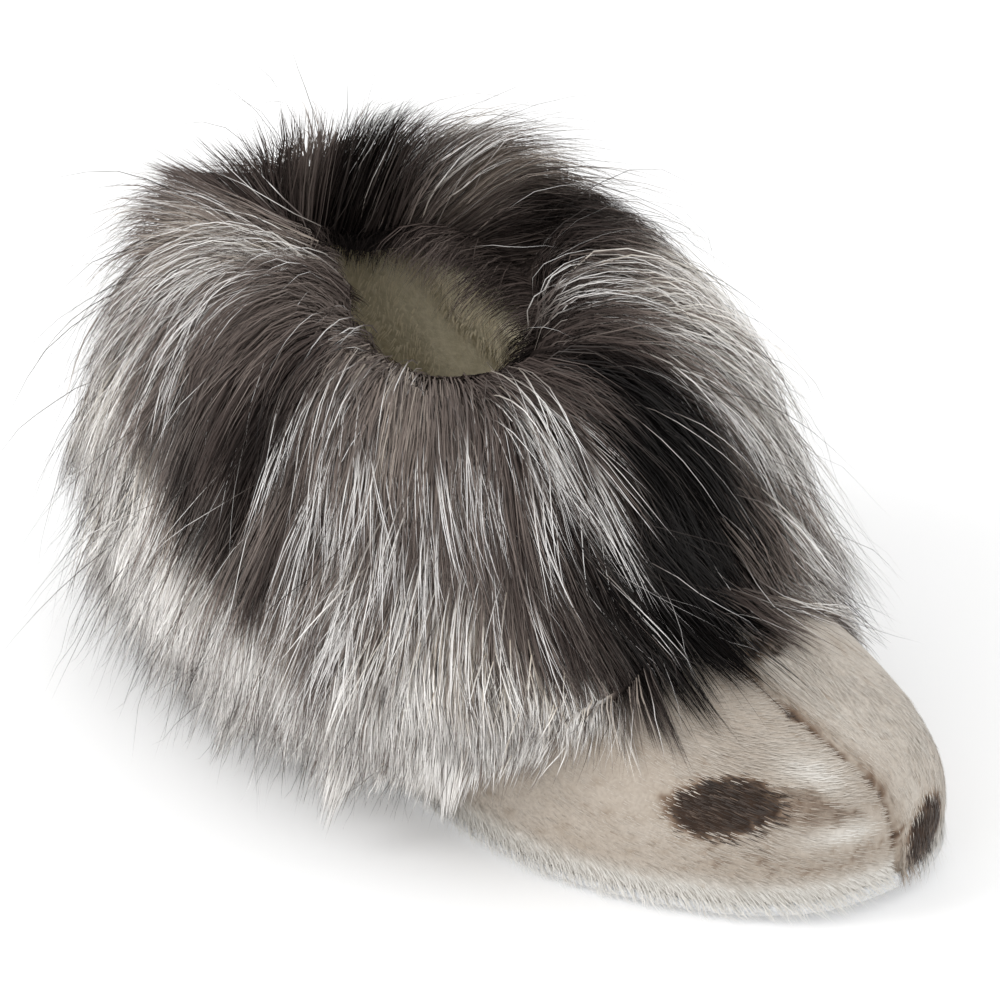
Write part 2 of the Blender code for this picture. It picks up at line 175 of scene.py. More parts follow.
def last_point(angles, steps):
    """Points of the upper's outer form, at steps from 0 (sole seam) to 1 (collar rim)."""
    low, high = sole_seam(angles), collar(angles)
    inward, up = (
        blend(angles, *(read(RISE, RISE_COLUMNS, place + kind, steps) for place in PLACES))
        for kind in ("in", "up")
    )
    plan = low * (1 - inward)[..., None] + high * inward[..., None]
    bottom = ground(low[..., 0], low[..., 1]) + seam_height(angles) + GAP
    settle = np.clip(1 - steps / SEAM_SETTLES, 0, 1)
    return np.concatenate((plan, (up + (bottom - SEAM_UP) * settle)[..., None]), axis=-1)


def hem_step(angles):
    """Step of the last at the cuff's hem."""
    return blend(angles, HEM_TOE, HEM_SIDE, HEM_HEEL)


def fur_value(angles, rows, kind):
    """A fur column at a place on the cuff."""
    toe, side, heel = (read(FUR, FUR_COLUMNS, place + kind, rows) for place in PLACES)
    if kind == "out":
        side = np.where(np.sin(angles) > 0, read(FUR, FUR_COLUMNS, "inner_out", rows), side)
    return blend(angles, toe, side, heel, FUR_BLEND_POWER[kind])


def fur_point(angles, rows):
    """Points of the cuff's outer form, at rows from 0 (mouth) over the crest to 8 (hem)."""
    point = last_point(angles, fur_value(angles, rows, "step"))
    point += outward(angles) * fur_value(angles, rows, "out")[..., None]
    point[..., 2] += fur_value(angles, rows, "up")
    return point


# ---------------------------------------------------------------- small helpers
SKIN_COLUMNS, SKIN_ROWS = 360, 160
HAIR_BELLY = 0.15
FLOOR = 0.6 * MM
TONE_STRIP = 0.004
NOISE_TURN, NOISE_GAIN = 2.2, 2.4


def unit(vectors):
    """Vectors at length 1."""
    return vectors / np.maximum(np.linalg.norm(vectors, axis=-1, keepdims=True), 1e-12)


def ease(value, start, end):
    """0 before start, 1 after end and smooth between them."""
    t = np.clip((value - start) / (end - start), 0, 1)
    return t * t * (3 - 2 * t)


def drift(points, scale, seed, waves=14):
    """Smooth seeded noise, three values a point, mostly between -1 and 1, with bumps of that size."""
    chance = np.random.default_rng(seed)
    turns = chance.normal(size=(3, waves)) * (NOISE_TURN / scale)
    shift = chance.uniform(0, 2 * math.pi, (3, waves))
    phase = points @ turns
    return np.stack([np.sin(phase + shift[i]).mean(axis=-1) for i in range(3)], axis=-1) * NOISE_GAIN


def apart(angles, rows, angle, row, wide, high):
    """Squared distance from a place, measured in spreads of so many degrees and rows."""
    turn = (angles - math.radians(angle) + math.pi) % (2 * math.pi) - math.pi
    return (turn / math.radians(wide)) ** 2 + ((rows - row) / high) ** 2


def between(first, second, turn):
    """Direction turned so far from the first vectors towards the second."""
    return first * np.cos(turn)[:, None] + second * np.sin(turn)[:, None]


def all_round(count):
    """Angles evenly spaced once round the foot."""
    return np.linspace(0, 2 * math.pi, count, endpoint=False)


def outward(angles):
    """Level direction away from the slipper's middle."""
    return np.stack((np.sin(angles), -np.cos(angles), np.zeros_like(angles)), axis=-1)


def onward(angles):
    """Level direction on round the foot."""
    return np.stack((np.cos(angles), np.sin(angles), np.zeros_like(angles)), axis=-1)


def along_hair(steps):
    """Share of a hair's length at each of its points, from root to tip."""
    return (np.arange(steps + 1) / steps)[None, :, None]


def to_segment(points, start, end):
    """Offset of each point from a straight line between two ends, and its share of the way along."""
    line = end - start
    share = np.clip((points - start) @ line / (line @ line), 0, 1)
    return points - start - share[:, None] * line, share


def off_floor(spines):
    """Lifts what would go into the floor."""
    spines[..., 2] = np.maximum(spines[..., 2], FLOOR)
    return spines


def nearest_of(points):
    """A search tree over points."""
    tree = KDTree(len(points))
    for index, point in enumerate(points):
        tree.insert(point, index)
    tree.balance()
    return tree


class Skin:
    """A surface over angle and height, tabulated with its normals and its directions round and along."""

    def __init__(self, function, low, high, outward_sign):
        self.low, self.high = low, high
        self.grid = np.meshgrid(all_round(SKIN_COLUMNS), np.linspace(low, high, SKIN_ROWS))
        self.place = function(*self.grid)
        around = np.roll(self.place, -1, axis=1) - np.roll(self.place, 1, axis=1)
        upward = np.gradient(self.place, axis=0)
        self.normal = unit(np.cross(around, upward)) * outward_sign
        self.around = unit(around)
        self.along = unit(upward - self.around * (upward * self.around).sum(axis=-1, keepdims=True))
        self.stride = np.linalg.norm(upward, axis=-1, keepdims=True) * (SKIN_ROWS - 1) / (high - low)
        self.area = np.linalg.norm(np.cross(around / 2, upward), axis=-1)

    def at(self, angles, heights, *names):
        """The named tables' values at each place, between its four nearest entries."""
        column = (angles / (2 * math.pi) * SKIN_COLUMNS) % SKIN_COLUMNS
        row = np.clip((heights - self.low) / (self.high - self.low), 0, 1) * (SKIN_ROWS - 1)
        c, r = column.astype(int) % SKIN_COLUMNS, np.minimum(row.astype(int), SKIN_ROWS - 2)
        s, t = (column - np.floor(column))[:, None], (row - r)[:, None]
        d = (c + 1) % SKIN_COLUMNS
        found = []
        for table in (getattr(self, name) for name in names):
            first = table[r, c] * (1 - s) + table[r, d] * s
            second = table[r + 1, c] * (1 - s) + table[r + 1, d] * s
            found.append(first * (1 - t) + second * t)
        return found if len(found) > 1 else found[0]

    def one(self, degrees, height, *names):
        """The named tables' values at one place."""
        spot = np.array([math.radians(degrees)]), np.array([height])
        return [self.at(*spot, name)[0] for name in names]

    def scatter(self, count, chance, weight):
        """Random places on the surface, as dense as weight(angles, heights) says."""
        share = self.area * weight(*self.grid)
        total = np.cumsum(share.ravel())
        cell = np.searchsorted(total, chance.uniform(0, total[-1], count))
        row, column = np.divmod(np.minimum(cell, share.size - 1), SKIN_COLUMNS)
        spread = chance.uniform(-0.5, 0.5, (2, count))
        step = (self.high - self.low) / (SKIN_ROWS - 1)
        found = np.clip(self.low + (row + spread[0]) * step, self.low, self.high)
        return (column + spread[1]) * 2 * math.pi / SKIN_COLUMNS, found


def new_piece(name, points, faces, finishes, uv=None, stands_for=None, face_finish=None, tone=None):
    """Piece of the slipper from arrays: faces are (n, corners) index arrays, and uv matches their corners."""
    mesh = bpy.data.meshes.new(name)
    corners = np.concatenate([face.ravel() for face in faces]).astype(np.int32)
    sizes = np.concatenate([np.full(len(face), face.shape[1]) for face in faces]).astype(np.int32)
    mesh.vertices.add(len(points))
    mesh.vertices.foreach_set("co", np.asarray(points, dtype=np.float32).ravel())
    mesh.loops.add(len(corners))
    mesh.loops.foreach_set("vertex_index", corners)
    mesh.polygons.add(len(sizes))
    mesh.polygons.foreach_set("loop_start", np.concatenate(([0], np.cumsum(sizes)[:-1])).astype(np.int32))
    mesh.polygons.foreach_set("loop_total", sizes)
    if face_finish is not None:
        mesh.polygons.foreach_set("material_index", np.asarray(face_finish, dtype=np.int32))
    mesh.update(calc_edges=True)
    if uv is not None:
        flat = np.concatenate([part.reshape(-1, 2) for part in uv]).astype(np.float32)
        mesh.uv_layers.new(name="OFBake").data.foreach_set("uv", flat.ravel())
    if tone is not None:
        layer = mesh.attributes.new("tone", "FLOAT", "POINT")
        layer.data.foreach_set("value", tone.astype(np.float32))
    mesh.shade_smooth()
    for finish in finishes:
        mesh.materials.append(finish)
    piece = bpy.data.objects.new(name, mesh)
    bpy.context.scene.collection.objects.link(piece)
    if stands_for:
        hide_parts(stands_for)
    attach(piece, "root")
    return piece


def ring_faces(rows, columns, closed=False):
    """Quads between rings of points, and from the last ring back to the first if closed."""
    index = np.arange(rows * columns).reshape(rows, columns)
    right = np.roll(index, -1, axis=1)
    quads = np.stack((index, right, np.roll(right, -1, axis=0), np.roll(index, -1, axis=0)), axis=-1)
    return quads[:rows if closed else rows - 1].reshape(-1, 4)


def strands(name, slot, spines, widths, facing, tones, finish):
    """Mesh of tapering hairs, each a ribbon along its own spine; its tone is its column in the finish."""
    count, steps = spines.shape[0], spines.shape[1] - 1
    ahead = spines[:, 1:] - spines[:, :-1]
    tangent = ahead.copy()
    tangent[:, 1:] += ahead[:, :-1]
    side = unit(np.cross(tangent, facing[:, None, :]))
    share = np.arange(steps) / steps
    taper = (1 - share ** 1.6) * (1 + HAIR_BELLY * np.sin(math.pi * share))
    half = side * (0.5 * widths[:, None] * taper[None, :])[..., None]
    pairs = np.stack((spines[:, :-1] - half, spines[:, :-1] + half), axis=2).reshape(count, 2 * steps, 3)
    points = np.concatenate((pairs, spines[:, -1:]), axis=1)
    base = (np.arange(count) * (2 * steps + 1))[:, None, None]
    rung = np.arange(steps - 1)[None, :, None]
    quads = (base + 2 * rung + np.array((0, 1, 3, 2))).reshape(-1, 4)
    tips = (base[:, 0] + 2 * steps + np.array((-2, -1, 0))).reshape(-1, 3)
    tone = np.clip(tones, 0.01, 0.99)[:, None]
    u = tone[..., None] + TONE_STRIP * np.array((-1, 1, 1, -1))
    v = (rung + np.array((0, 0, 1, 1))) / steps
    tip_u = tone + TONE_STRIP * np.array((-1, 1, 0))
    tip_v = np.array(((steps - 1) / steps, (steps - 1) / steps, 1.0))
    uv = [np.stack(np.broadcast_arrays(*pair), axis=-1) for pair in ((u, v), (tip_u, tip_v))]
    return new_piece(name, points.reshape(-1, 3), (quads, tips), (finish,), uv)


# ---------------------------------------------------------------- finishes
WHITE, BLACK = (1, 1, 1, 1), (0, 0, 0, 1)


def srgb(*levels):
    """Linear colour from 0-255 screen levels."""
    share = np.array(levels) / 255
    return (*np.where(share <= 0.04045, share / 12.92, ((share + 0.055) / 1.055) ** 2.4), 1.0)


def stops(*rows):
    """Places and colours for a ramp, from rows of a place and three screen levels."""
    return [(place, srgb(*levels)) for place, *levels in rows]


def fill(node, values):
    """Sets a node's inputs, to values or to other nodes' sockets."""
    for key, value in values.items():
        if isinstance(value, bpy.types.NodeSocket):
            node.id_data.links.new(value, node.inputs[key])
        else:
            node.inputs[key].default_value = value


class Finish:
    """A Principled material and short ways to add nodes to it."""

    def __init__(self, name, roughness=0.6, specular=0.3, sheen=0.0):
        self.material = bpy.data.materials.new(name)
        self.material.use_nodes = True
        self.nodes = self.material.node_tree.nodes
        self.shader = self.nodes["Principled BSDF"]
        fill(self.shader, {"Roughness": roughness, "Specular IOR Level": specular, "Sheen Weight": sheen})

    def node(self, kind, inputs=(), **settings):
        """A new node, with its inputs and settings."""
        made = self.nodes.new(kind)
        for key, value in settings.items():
            setattr(made, key, value)
        fill(made, dict(inputs))
        return made

    def ramp(self, factor, rows):
        """Colour along a factor, from (place, colour) rows."""
        made = self.node("ShaderNodeValToRGB", {0: factor})
        elements = made.color_ramp.elements
        while len(elements) < len(rows):
            elements.new(0.5)
        for element, (place, colour) in zip(elements, rows):
            element.position, element.color = place, colour
        return made.outputs[0]

    def mix(self, factor, first, second, mode="MIX"):
        """Two colours mixed."""
        sockets = {0: factor, 6: first, 7: second}
        return self.node("ShaderNodeMix", sockets, data_type="RGBA", blend_type=mode).outputs[2]

    def times(self, first, second):
        """Product of two numbers."""
        return self.node("ShaderNodeMath", {0: first, 1: second}, operation="MULTIPLY").outputs[0]

    def noise(self, scale, detail=3.0, vector=None):
        """Noise in the object's own space, at so many bumps a metre."""
        place = vector or self.node("ShaderNodeTexCoord").outputs["Object"]
        return self.node("ShaderNodeTexNoise", {"Vector": place, "Scale": scale, "Detail": detail}).outputs[0]

    def hair_place(self):
        """The hair's tone (column) and the place along it."""
        spot = self.node("ShaderNodeUVMap", uv_map="OFBake").outputs[0]
        parts = self.node("ShaderNodeSeparateXYZ", {0: spot})
        return parts.outputs[0], parts.outputs[1]

    def point_tone(self):
        """The tone kept at the mesh's points."""
        return self.node("ShaderNodeAttribute", attribute_name="tone").outputs["Fac"]

    def colour(self, socket):
        """The finished material, with that base colour."""
        fill(self.shader, {"Base Color": socket})
        return self.material

    def bump(self, height, strength, distance):
        """Fine relief in the shading."""
        made = self.node("ShaderNodeBump", {"Height": height, "Strength": strength, "Distance": distance})
        fill(self.shader, {"Normal": made.outputs[0]})


def guard_hair_finish():
    """Silver fox's guard hair: black (tone 0), taupe (0.4), banded silver (0.6), pale with a dark tip (1)."""
    finish = Finish("guard_hair", roughness=0.5, specular=0.18)
    tone, along = finish.hair_place()
    black, taupe, silver, pale = (finish.ramp(along, stops(*rows)) for rows in (
        ((0.0, 30, 26, 25), (0.4, 16, 14, 14), (1.0, 10, 9, 9)),
        ((0.0, 92, 83, 78), (0.6, 132, 120, 113), (1.0, 80, 72, 69)),
        ((0.0, 92, 83, 79), (0.32, 104, 95, 91), (0.46, 214, 211, 208),
         (0.80, 250, 249, 248), (0.92, 196, 192, 190), (1.0, 50, 46, 46)),
        ((0.0, 178, 167, 152), (0.25, 224, 218, 209), (0.60, 247, 245, 242),
         (0.76, 206, 201, 196), (0.86, 84, 78, 76), (1.0, 30, 27, 27)),
    ))
    sockets = {0: finish.times(tone, 900.0), 1: finish.times(along, 9.0)}
    cell = finish.node("ShaderNodeCombineXYZ", sockets).outputs[0]
    breaks = finish.ramp(finish.noise(1.0, 1.0, cell), ((0.34, (0.62, 0.6, 0.59, 1)), (0.54, WHITE)))
    silver = finish.mix(1.0, silver, breaks, "MULTIPLY")
    low, middle, high = (finish.ramp(tone, ((start, BLACK), (end, WHITE)))
                         for start, end in ((0.0, 0.4), (0.46, 0.54), (0.62, 1.0)))
    return finish.colour(finish.mix(high, finish.mix(middle, finish.mix(low, black, taupe), silver), pale))


UNDERFUR_TONES = stops(
    (0.00, 12, 10, 10), (0.20, 42, 36, 34), (0.42, 86, 76, 72),
    (0.62, 134, 123, 116), (0.80, 194, 184, 172), (1.00, 246, 244, 241),
)
SEAL_TONES = stops(
    (0.00, 34, 24, 17), (0.16, 66, 50, 39), (0.34, 128, 109, 93), (0.52, 174, 163, 150),
    (0.70, 190, 181, 170), (0.86, 206, 200, 191), (1.00, 226, 223, 217),
)


def toned_hair_finish(name, roughness, specular, tones, root, root_end):
    """Hair in one of a range of tones, darker at its root as painted shade."""
    finish = Finish(name, roughness=roughness, specular=specular)
    tone, along = finish.hair_place()
    # Painted shade towards the root.
    shade = finish.ramp(along, ((0.0, (*root, 1)), (root_end, WHITE)))
    return finish.colour(finish.mix(1.0, finish.ramp(tone, tones), shade, "MULTIPLY"))


def seal_skin_finish():
    """The hide under the short hair: the hair's colours with their painted highlights and shade, from the
    tone kept at its points.
    """
    finish = Finish("seal_skin", roughness=0.7, specular=0.2)
    speckle = finish.noise(900.0)
    finish.bump(speckle, 0.5, 0.0006)
    flecks = finish.ramp(speckle, stops((0.3, 150, 132, 118), (0.7, 222, 214, 205)))
    return finish.colour(finish.mix(0.35, finish.ramp(finish.point_tone(), SEAL_TONES), flecks, "MULTIPLY"))


def pile_finish(name, light, shade):
    """Woolly pile: cream hair with shaded roots."""
    finish = Finish(name, roughness=0.9, specular=0.1)
    tone, along = finish.hair_place()
    return finish.colour(finish.mix(along, finish.mix(tone, shade, light), light))


def wool_base_finish(name, shade, light):
    """The ground of the pile, seen between its hairs."""
    finish = Finish(name, roughness=0.95, specular=0.1)
    curl = finish.noise(420.0, 5.0)
    finish.bump(curl, 0.6, 0.0014)
    return finish.colour(finish.ramp(curl, ((0.3, shade), (0.75, light))))


def suede_finish():
    """White nubby suede of the sole."""
    finish = Finish("nubby_suede", roughness=0.95, specular=0.15, sheen=0.3)
    nub = finish.noise(1100.0, 4.0)
    wear = finish.times(finish.noise(60.0, 2.0), 0.2)
    finish.bump(nub, 1.0, 0.0012)
    clean = finish.ramp(nub, stops((0.3, 204, 207, 210), (0.5, 232, 233, 235), (0.75, 250, 250, 250)))
    return finish.colour(finish.mix(wear, clean, srgb(205, 206, 204)))


def core_finish():
    """The fur's depth, seen between its hairs: the tone kept at its points, darkened as painted shade."""
    finish = Finish("fur_depth_painted_shade", roughness=0.95, specular=0.05)
    painted_shades = ((0.3, (0.34, 0.33, 0.33, 1)), (0.8, (0.72, 0.71, 0.70, 1)))
    depth = finish.ramp(finish.noise(420.0, 4.0), painted_shades)
    tones = finish.ramp(finish.point_tone(), UNDERFUR_TONES)
    return finish.colour(finish.mix(1.0, tones, depth, "MULTIPLY"))


# ---------------------------------------------------------------- upper
LAST = Skin(last_point, 0.0, 1.0, 1.0)
LINING_CREASE = ((112, 1.00), (109, 0.93), (102, 0.85), (94, 0.81), (82, 0.81), (70, 0.84))
CREASE_HALF = 7 * MM
LINING_FOLDS = 7 * MM
SEAM_DEPTH, SEAM_HALF = 1.3 * MM, 1.6 * MM
LIP, LIP_HALF = 0.6 * MM, 3.5 * MM
INNER_TONE, OUTER_TONE = 0.80, 0.67
MARK_DEPTH = 15 * MM
UPPER_COLUMNS, UPPER_ROWS = 200, 48
RIM_WOOL_FROM = 0.9

# Soft folds in the hide. Columns: name, then angle in degrees and step at each end, depth, half width.
FOLDS = (
    ("spot_to_seam", 326, 0.360, 353, 0.250, 0.0022, 0.0020),
    ("low_toe", 322, 0.235, 350, 0.165, 0.0007, 0.0028),
    ("inner_toe", 24, 0.300, 44, 0.330, 0.0008, 0.0030),
)

# Marks in the hide. Columns: name, angle in degrees, step, half length, half height, turn in degrees, tone.
# A positive turn lifts the end that points to the toe.
MARKS = (
    ("outer_trail", 332.0, 0.325, 0.0130, 0.0055, -12, 0.36),
    # The dark line along the fold from the outer spot to the seam is painted shade in that fold.
    ("fold_line", 343.5, 0.292, 0.0095, 0.0010, -14, 0.38),
    ("outer_spot", 315.0, 0.315, 0.0170, 0.0090, 6, 0.03),
    ("toe_spot_tail", 7.0, 0.060, 0.0080, 0.0050, -30, 0.40),
    ("toe_spot", 14.5, 0.122, 0.0108, 0.0074, -32, 0.05),
    ("seam_fleck", 357.5, 0.545, 0.0040, 0.0022, 10, 0.08),
    ("inner_dark", 15.0, 0.640, 0.0080, 0.0050, 20, 0.05),
    ("inner_spot", 64.0, 0.400, 0.0090, 0.0060, -30, 0.08),
    ("inner_low_spot", 78.0, 0.180, 0.0060, 0.0040, -15, 0.14),
    ("heel_spot", 205.0, 0.260, 0.0080, 0.0055, 10, 0.10),
    ("outer_back_spot", 262.0, 0.260, 0.0070, 0.0045, 15, 0.12),
)

# Painted highlights (the gloss) and a band of painted shade on the hide. Columns: name, angle in degrees,
# step, spread in radians and in steps, and the change of tone.
PAINTED_GLOSS_AND_SHADE = (
    ("outer_painted_highlight", 344, 0.42, 0.16, 0.07, 0.30),
    ("low_painted_highlight", 342, 0.215, 0.22, 0.040, 0.36),
    ("low_shade", 328, 0.13, 0.45, 0.035, -0.10),
)


def from_seam(angles):
    """Rough distance from the middle line, where the toe seam runs, positive on the inner side."""
    return np.sin(angles) * 60 * MM


def seam_relief(angles):
    """How far the hide stands off the last's form near the toe seam: a groove, then the panel's edge."""
    side = from_seam(angles)
    groove = -SEAM_DEPTH * np.exp(-(side / SEAM_HALF) ** 2)
    lip = LIP * np.exp(-((side - LIP_HALF) / (LIP_HALF / 2)) ** 2)
    return np.where(np.cos(angles) > 0, groove + lip, 0)


def fold_relief(points):
    """Depth of the listed folds, each with a soft ridge above it."""
    relief = np.zeros(len(points))
    for _, angle, step, end_angle, end_step, depth, half in FOLDS:
        ends = LAST.one(angle, step, "place") + LAST.one(end_angle, end_step, "place")
        off, share = to_segment(points, *ends)
        distance = np.linalg.norm(off, axis=1) * np.sign(off[:, 2])
        fade = np.sin(math.pi * (0.12 + 0.76 * share))
        groove = np.exp(-(distance / half) ** 2)
        ridge = np.exp(-((distance - 2.2 * half) / (1.6 * half)) ** 2)
        relief += depth * fade * (0.8 * ridge - groove)
    return relief


def mark_reach(points, angle, step, long_half, high_half, turn):
    """Distance from a mark's middle in its own half sizes, and which points are too far off its surface."""
    centre, around, up, normal = LAST.one(angle, step, "place", "around", "along", "normal")
    turned, offset = math.radians(turn), points - centre
    a, b = offset @ (around * (-1 if angle < 180 else 1)), offset @ up
    along = a * math.cos(turned) + b * math.sin(turned)
    across = b * math.cos(turned) - a * math.sin(turned)
    return np.hypot(along / long_half, across / high_half), np.abs(offset @ normal) > MARK_DEPTH


def hide_tone(points, angles, steps, chance, stipple=False):
    """Tone of the hair at each place: marks, flecks, the paler edge, painted highlights and shade, and the
    darker hair and painted shade beside the seam.
    """
    count = len(points)
    inner = np.sin(angles) > 0
    slow, fine = drift(points, 26 * MM, 3), drift(points, 5 * MM, 4)
    tone = np.where(inner, INNER_TONE, OUTER_TONE)
    tone += 0.05 * slow[:, 0] + 0.03 * fine[:, 0] + chance.normal(0, 0.02, count)
    # Painted highlights lighten the tone and painted shade darkens it.
    for _, angle, step, wide, high, change in PAINTED_GLOSS_AND_SHADE:
        tone += change * np.exp(-((angles - math.radians(angle)) / wide) ** 2 - ((steps - step) / high) ** 2)
    tone += np.where(inner, 0.20, 0.40) * (1 - ease(steps, 0.03, 0.11))
    fleck_zone = np.exp(-((steps - 0.15) / 0.05) ** 2) + 0.25
    fleck = chance.uniform(0, 1, count) < 0.22 * fleck_zone * (1.2 + slow[:, 1])
    tone = np.where(fleck, tone - chance.uniform(0.06, 0.24, count), tone)
    # Darker brown hair beside the seam, darkest at its groove: partly the hair's own colour, partly painted
    # shade.
    side = from_seam(angles)
    beside = np.exp(-(side / np.where(side > 0, 5.0 * MM, 2.0 * MM)) ** 2)
    tone -= (np.cos(angles) > 0) * beside * chance.uniform(0.14, 0.52, count)
    for _, *place_and_size, mark_tone in MARKS:
        reach, far = mark_reach(points, *place_and_size)
        reach += 0.10 * fine[:, 1] + chance.normal(0, 0.06, count)
        inside = (1 - ease(reach, 0.72, 1.22)) * ~far
        if stipple:
            inside = (chance.uniform(0, 1, count) < inside).astype(float)
        mark = mark_tone + np.abs(chance.normal(0, 0.09, count)) + 0.04 * fine[:, 2]
        tone = tone * (1 - inside) + mark * inside
    return np.clip(tone, 0.0, 1.0)


def lining_inset(place, steps):
    """How far in the pile's ground lies: the wall, soft folds and the deep crease seen at the opening."""
    folds = drift(place * (1, 1, 0.4), 20 * MM, 9)[:, 0]
    line = [LAST.one(*corner, "place")[0] for corner in LINING_CREASE]
    gaps = [np.linalg.norm(to_segment(place, *ends)[0], axis=1) for ends in zip(line[:-1], line[1:])]
    distance = np.min(gaps, axis=0)
    lobe = np.clip(folds, 0, 1) * 0.5 + 0.5 * np.exp(-(distance / (30 * MM)) ** 2)
    lobe *= 1 - np.exp(-(distance / CREASE_HALF) ** 2)
    return WALL + LINING_FOLDS * lobe * ease(steps, 0.1, 0.4)


def make_upper():
    """Hide and lining as one wall: the last's form outside, a wall further in, folded pile inside."""
    angles = all_round(UPPER_COLUMNS)
    a, s = (part.ravel() for part in np.meshgrid(angles, np.linspace(0, 1, UPPER_ROWS)))
    place, normal = LAST.at(a, s, "place", "normal")
    soft = drift(place, 34 * MM, 8)[:, 0] * 0.5 * MM * ease(s, 0.0, 0.2) + fold_relief(place)
    outside = place + normal * (seam_relief(a) + soft)[:, None]
    inside = place - normal * lining_inset(place, s)[:, None]
    shape = (UPPER_ROWS, UPPER_COLUMNS, 3)
    rings = np.concatenate((outside.reshape(shape), inside.reshape(shape)[::-1]))
    faces = ring_faces(len(rings), UPPER_COLUMNS, closed=True)
    wool = np.arange(len(faces)) // UPPER_COLUMNS >= RIM_WOOL_FROM * UPPER_ROWS
    tone = hide_tone(place, a, s, np.random.default_rng(21))
    return new_piece("hide_upper", rings.reshape(-1, 3), (faces,), (SEAL_SKIN, PILE_GROUND),
                     stands_for="upper", face_finish=wool, tone=np.concatenate((tone, tone)))


SEAL_HAIRS = 52000
SEAL_LENGTH = 3.9 * MM
SEAL_WIDTH = 0.25 * MM
SEAL_LIFT = 11
EDGE_STEPS = 0.07


def seal_density(angles, steps):
    """The hide's hair grows up to a little over the cuff's hem, and thicker along the sole."""
    return (steps < hem_step(angles) + 0.06) * (1 + 1.7 * (steps < 0.1))


def seal_comb(place, angles, steps, chance):
    """Direction of the hide's hair, its lift, and how much it is the loose hair of the low edge."""
    around, along = LAST.at(angles, steps, "around", "along")
    inner, front, count = np.sin(angles) > 0, np.cos(angles) > 0, len(place)
    near_seam = ease(np.abs(np.sin(angles)), 0.03, 0.6) * front + ~front
    ahead = np.where(inner, 0.75 * near_seam, 0.96) * (0.75 + 0.25 * ease(steps, 0.02, 0.12))
    fall = np.where(inner, 0.66, 0.22) + 0.4 * (1 - ease(steps, 0.02, 0.16))
    swirl = drift(place, 22 * MM, 5)[:, 0] * 0.16 + chance.normal(0, 0.07, count)
    toward = around * np.where(inner, -1, 1)[:, None]
    way = unit(toward * ahead[:, None] - along * (fall + swirl)[:, None])
    lift = np.radians(SEAL_LIFT + chance.normal(0, 4.0, count) + 9 * (steps < 0.05))
    at_inner_toe = 0.35 + 0.65 * ease(np.cos(angles), 0.3, 0.8)
    edge = (1 - ease(steps, 0.0, EDGE_STEPS)) * np.where(inner, at_inner_toe, 1.0)
    loose = 0.30 * chance.normal(0, 1, place.shape) * edge[:, None]
    return unit(way - along * (0.5 * edge)[:, None] + loose), lift, edge


def make_seal_hair():
    """Short hair combed towards the toe, steeper down on the inner panel, standing clear of the seam."""
    chance = np.random.default_rng(22)
    angles, steps = LAST.scatter(SEAL_HAIRS, chance, seal_density)
    angles %= 2 * math.pi
    place, normal = LAST.at(angles, steps, "place", "normal")
    place = place + normal * (seam_relief(angles) + fold_relief(place) - 0.2 * MM)[:, None]
    way, lift, edge = seal_comb(place, angles, steps, chance)
    clear = np.maximum((1.6 + 5 * edge) * MM, np.abs(from_seam(angles)) * 1.05)
    room = np.where(np.cos(angles) > 0, clear, 1.0)
    length = SEAL_LENGTH * chance.uniform(0.7, 1.15, SEAL_HAIRS)
    length = np.minimum(length * (1 + edge * chance.uniform(0.3, 1.8, SEAL_HAIRS)), room)
    half = (length / 2)[:, None]
    middle = place + unit(between(way, normal, lift)) * half
    tip = middle + unit(between(way, normal, lift * 0.2) - normal * 0.06) * half
    spines = off_floor(np.stack((place, middle, tip), axis=1))
    facing = unit(normal + chance.normal(0, 0.05, normal.shape))
    tones = hide_tone(place, angles, steps, chance, stipple=True)
    widths = SEAL_WIDTH * chance.uniform(0.7, 1.3, SEAL_HAIRS) * (1 - 0.25 * edge)
    strands("seal_hair", "hair_hide", spines, widths, facing, tones, SEAL_HAIR)


# ---------------------------------------------------------------- lining, insole and sole
LINING_HAIRS = 13000
LINING_LENGTH, LINING_WIDTH = 3.0 * MM, 0.40 * MM
LINING_FROM = 0.25
SOLE_COLUMNS = 320
SOLE_NUBS = 0.16 * MM
PAD_COLUMNS = 160
PAD_BOTTOM = SOLE_FLOOR + GAP
PAD_TOP = PAD_BOTTOM + INSOLE_THICKNESS
PAD_DENT, PAD_DENTS = 1.2 * MM, ((0.005, 0.024), (-0.15, 0.032))
INSOLE_HAIRS = 4000
INSOLE_WIDTH, INSOLE_LENGTHS = 0.5 * MM, (2.4 * MM, 3.4 * MM)

# Edges of sole and footbed. Columns: how far in from the seam, share of the height.
TRAY_PROFILE = (
    (0.0, 1.0), (-0.0004, 0.86), (-0.0007, 0.62), (-0.0002, 0.4), (0.0008, 0.2), (0.0026, 0.06), (0.005, 0.0),
)
PAD_PROFILE = ((0.0012, 0.0), (0.0002, 0.2), (0.0, 0.5), (0.0004, 0.8), (0.0022, 1.0))


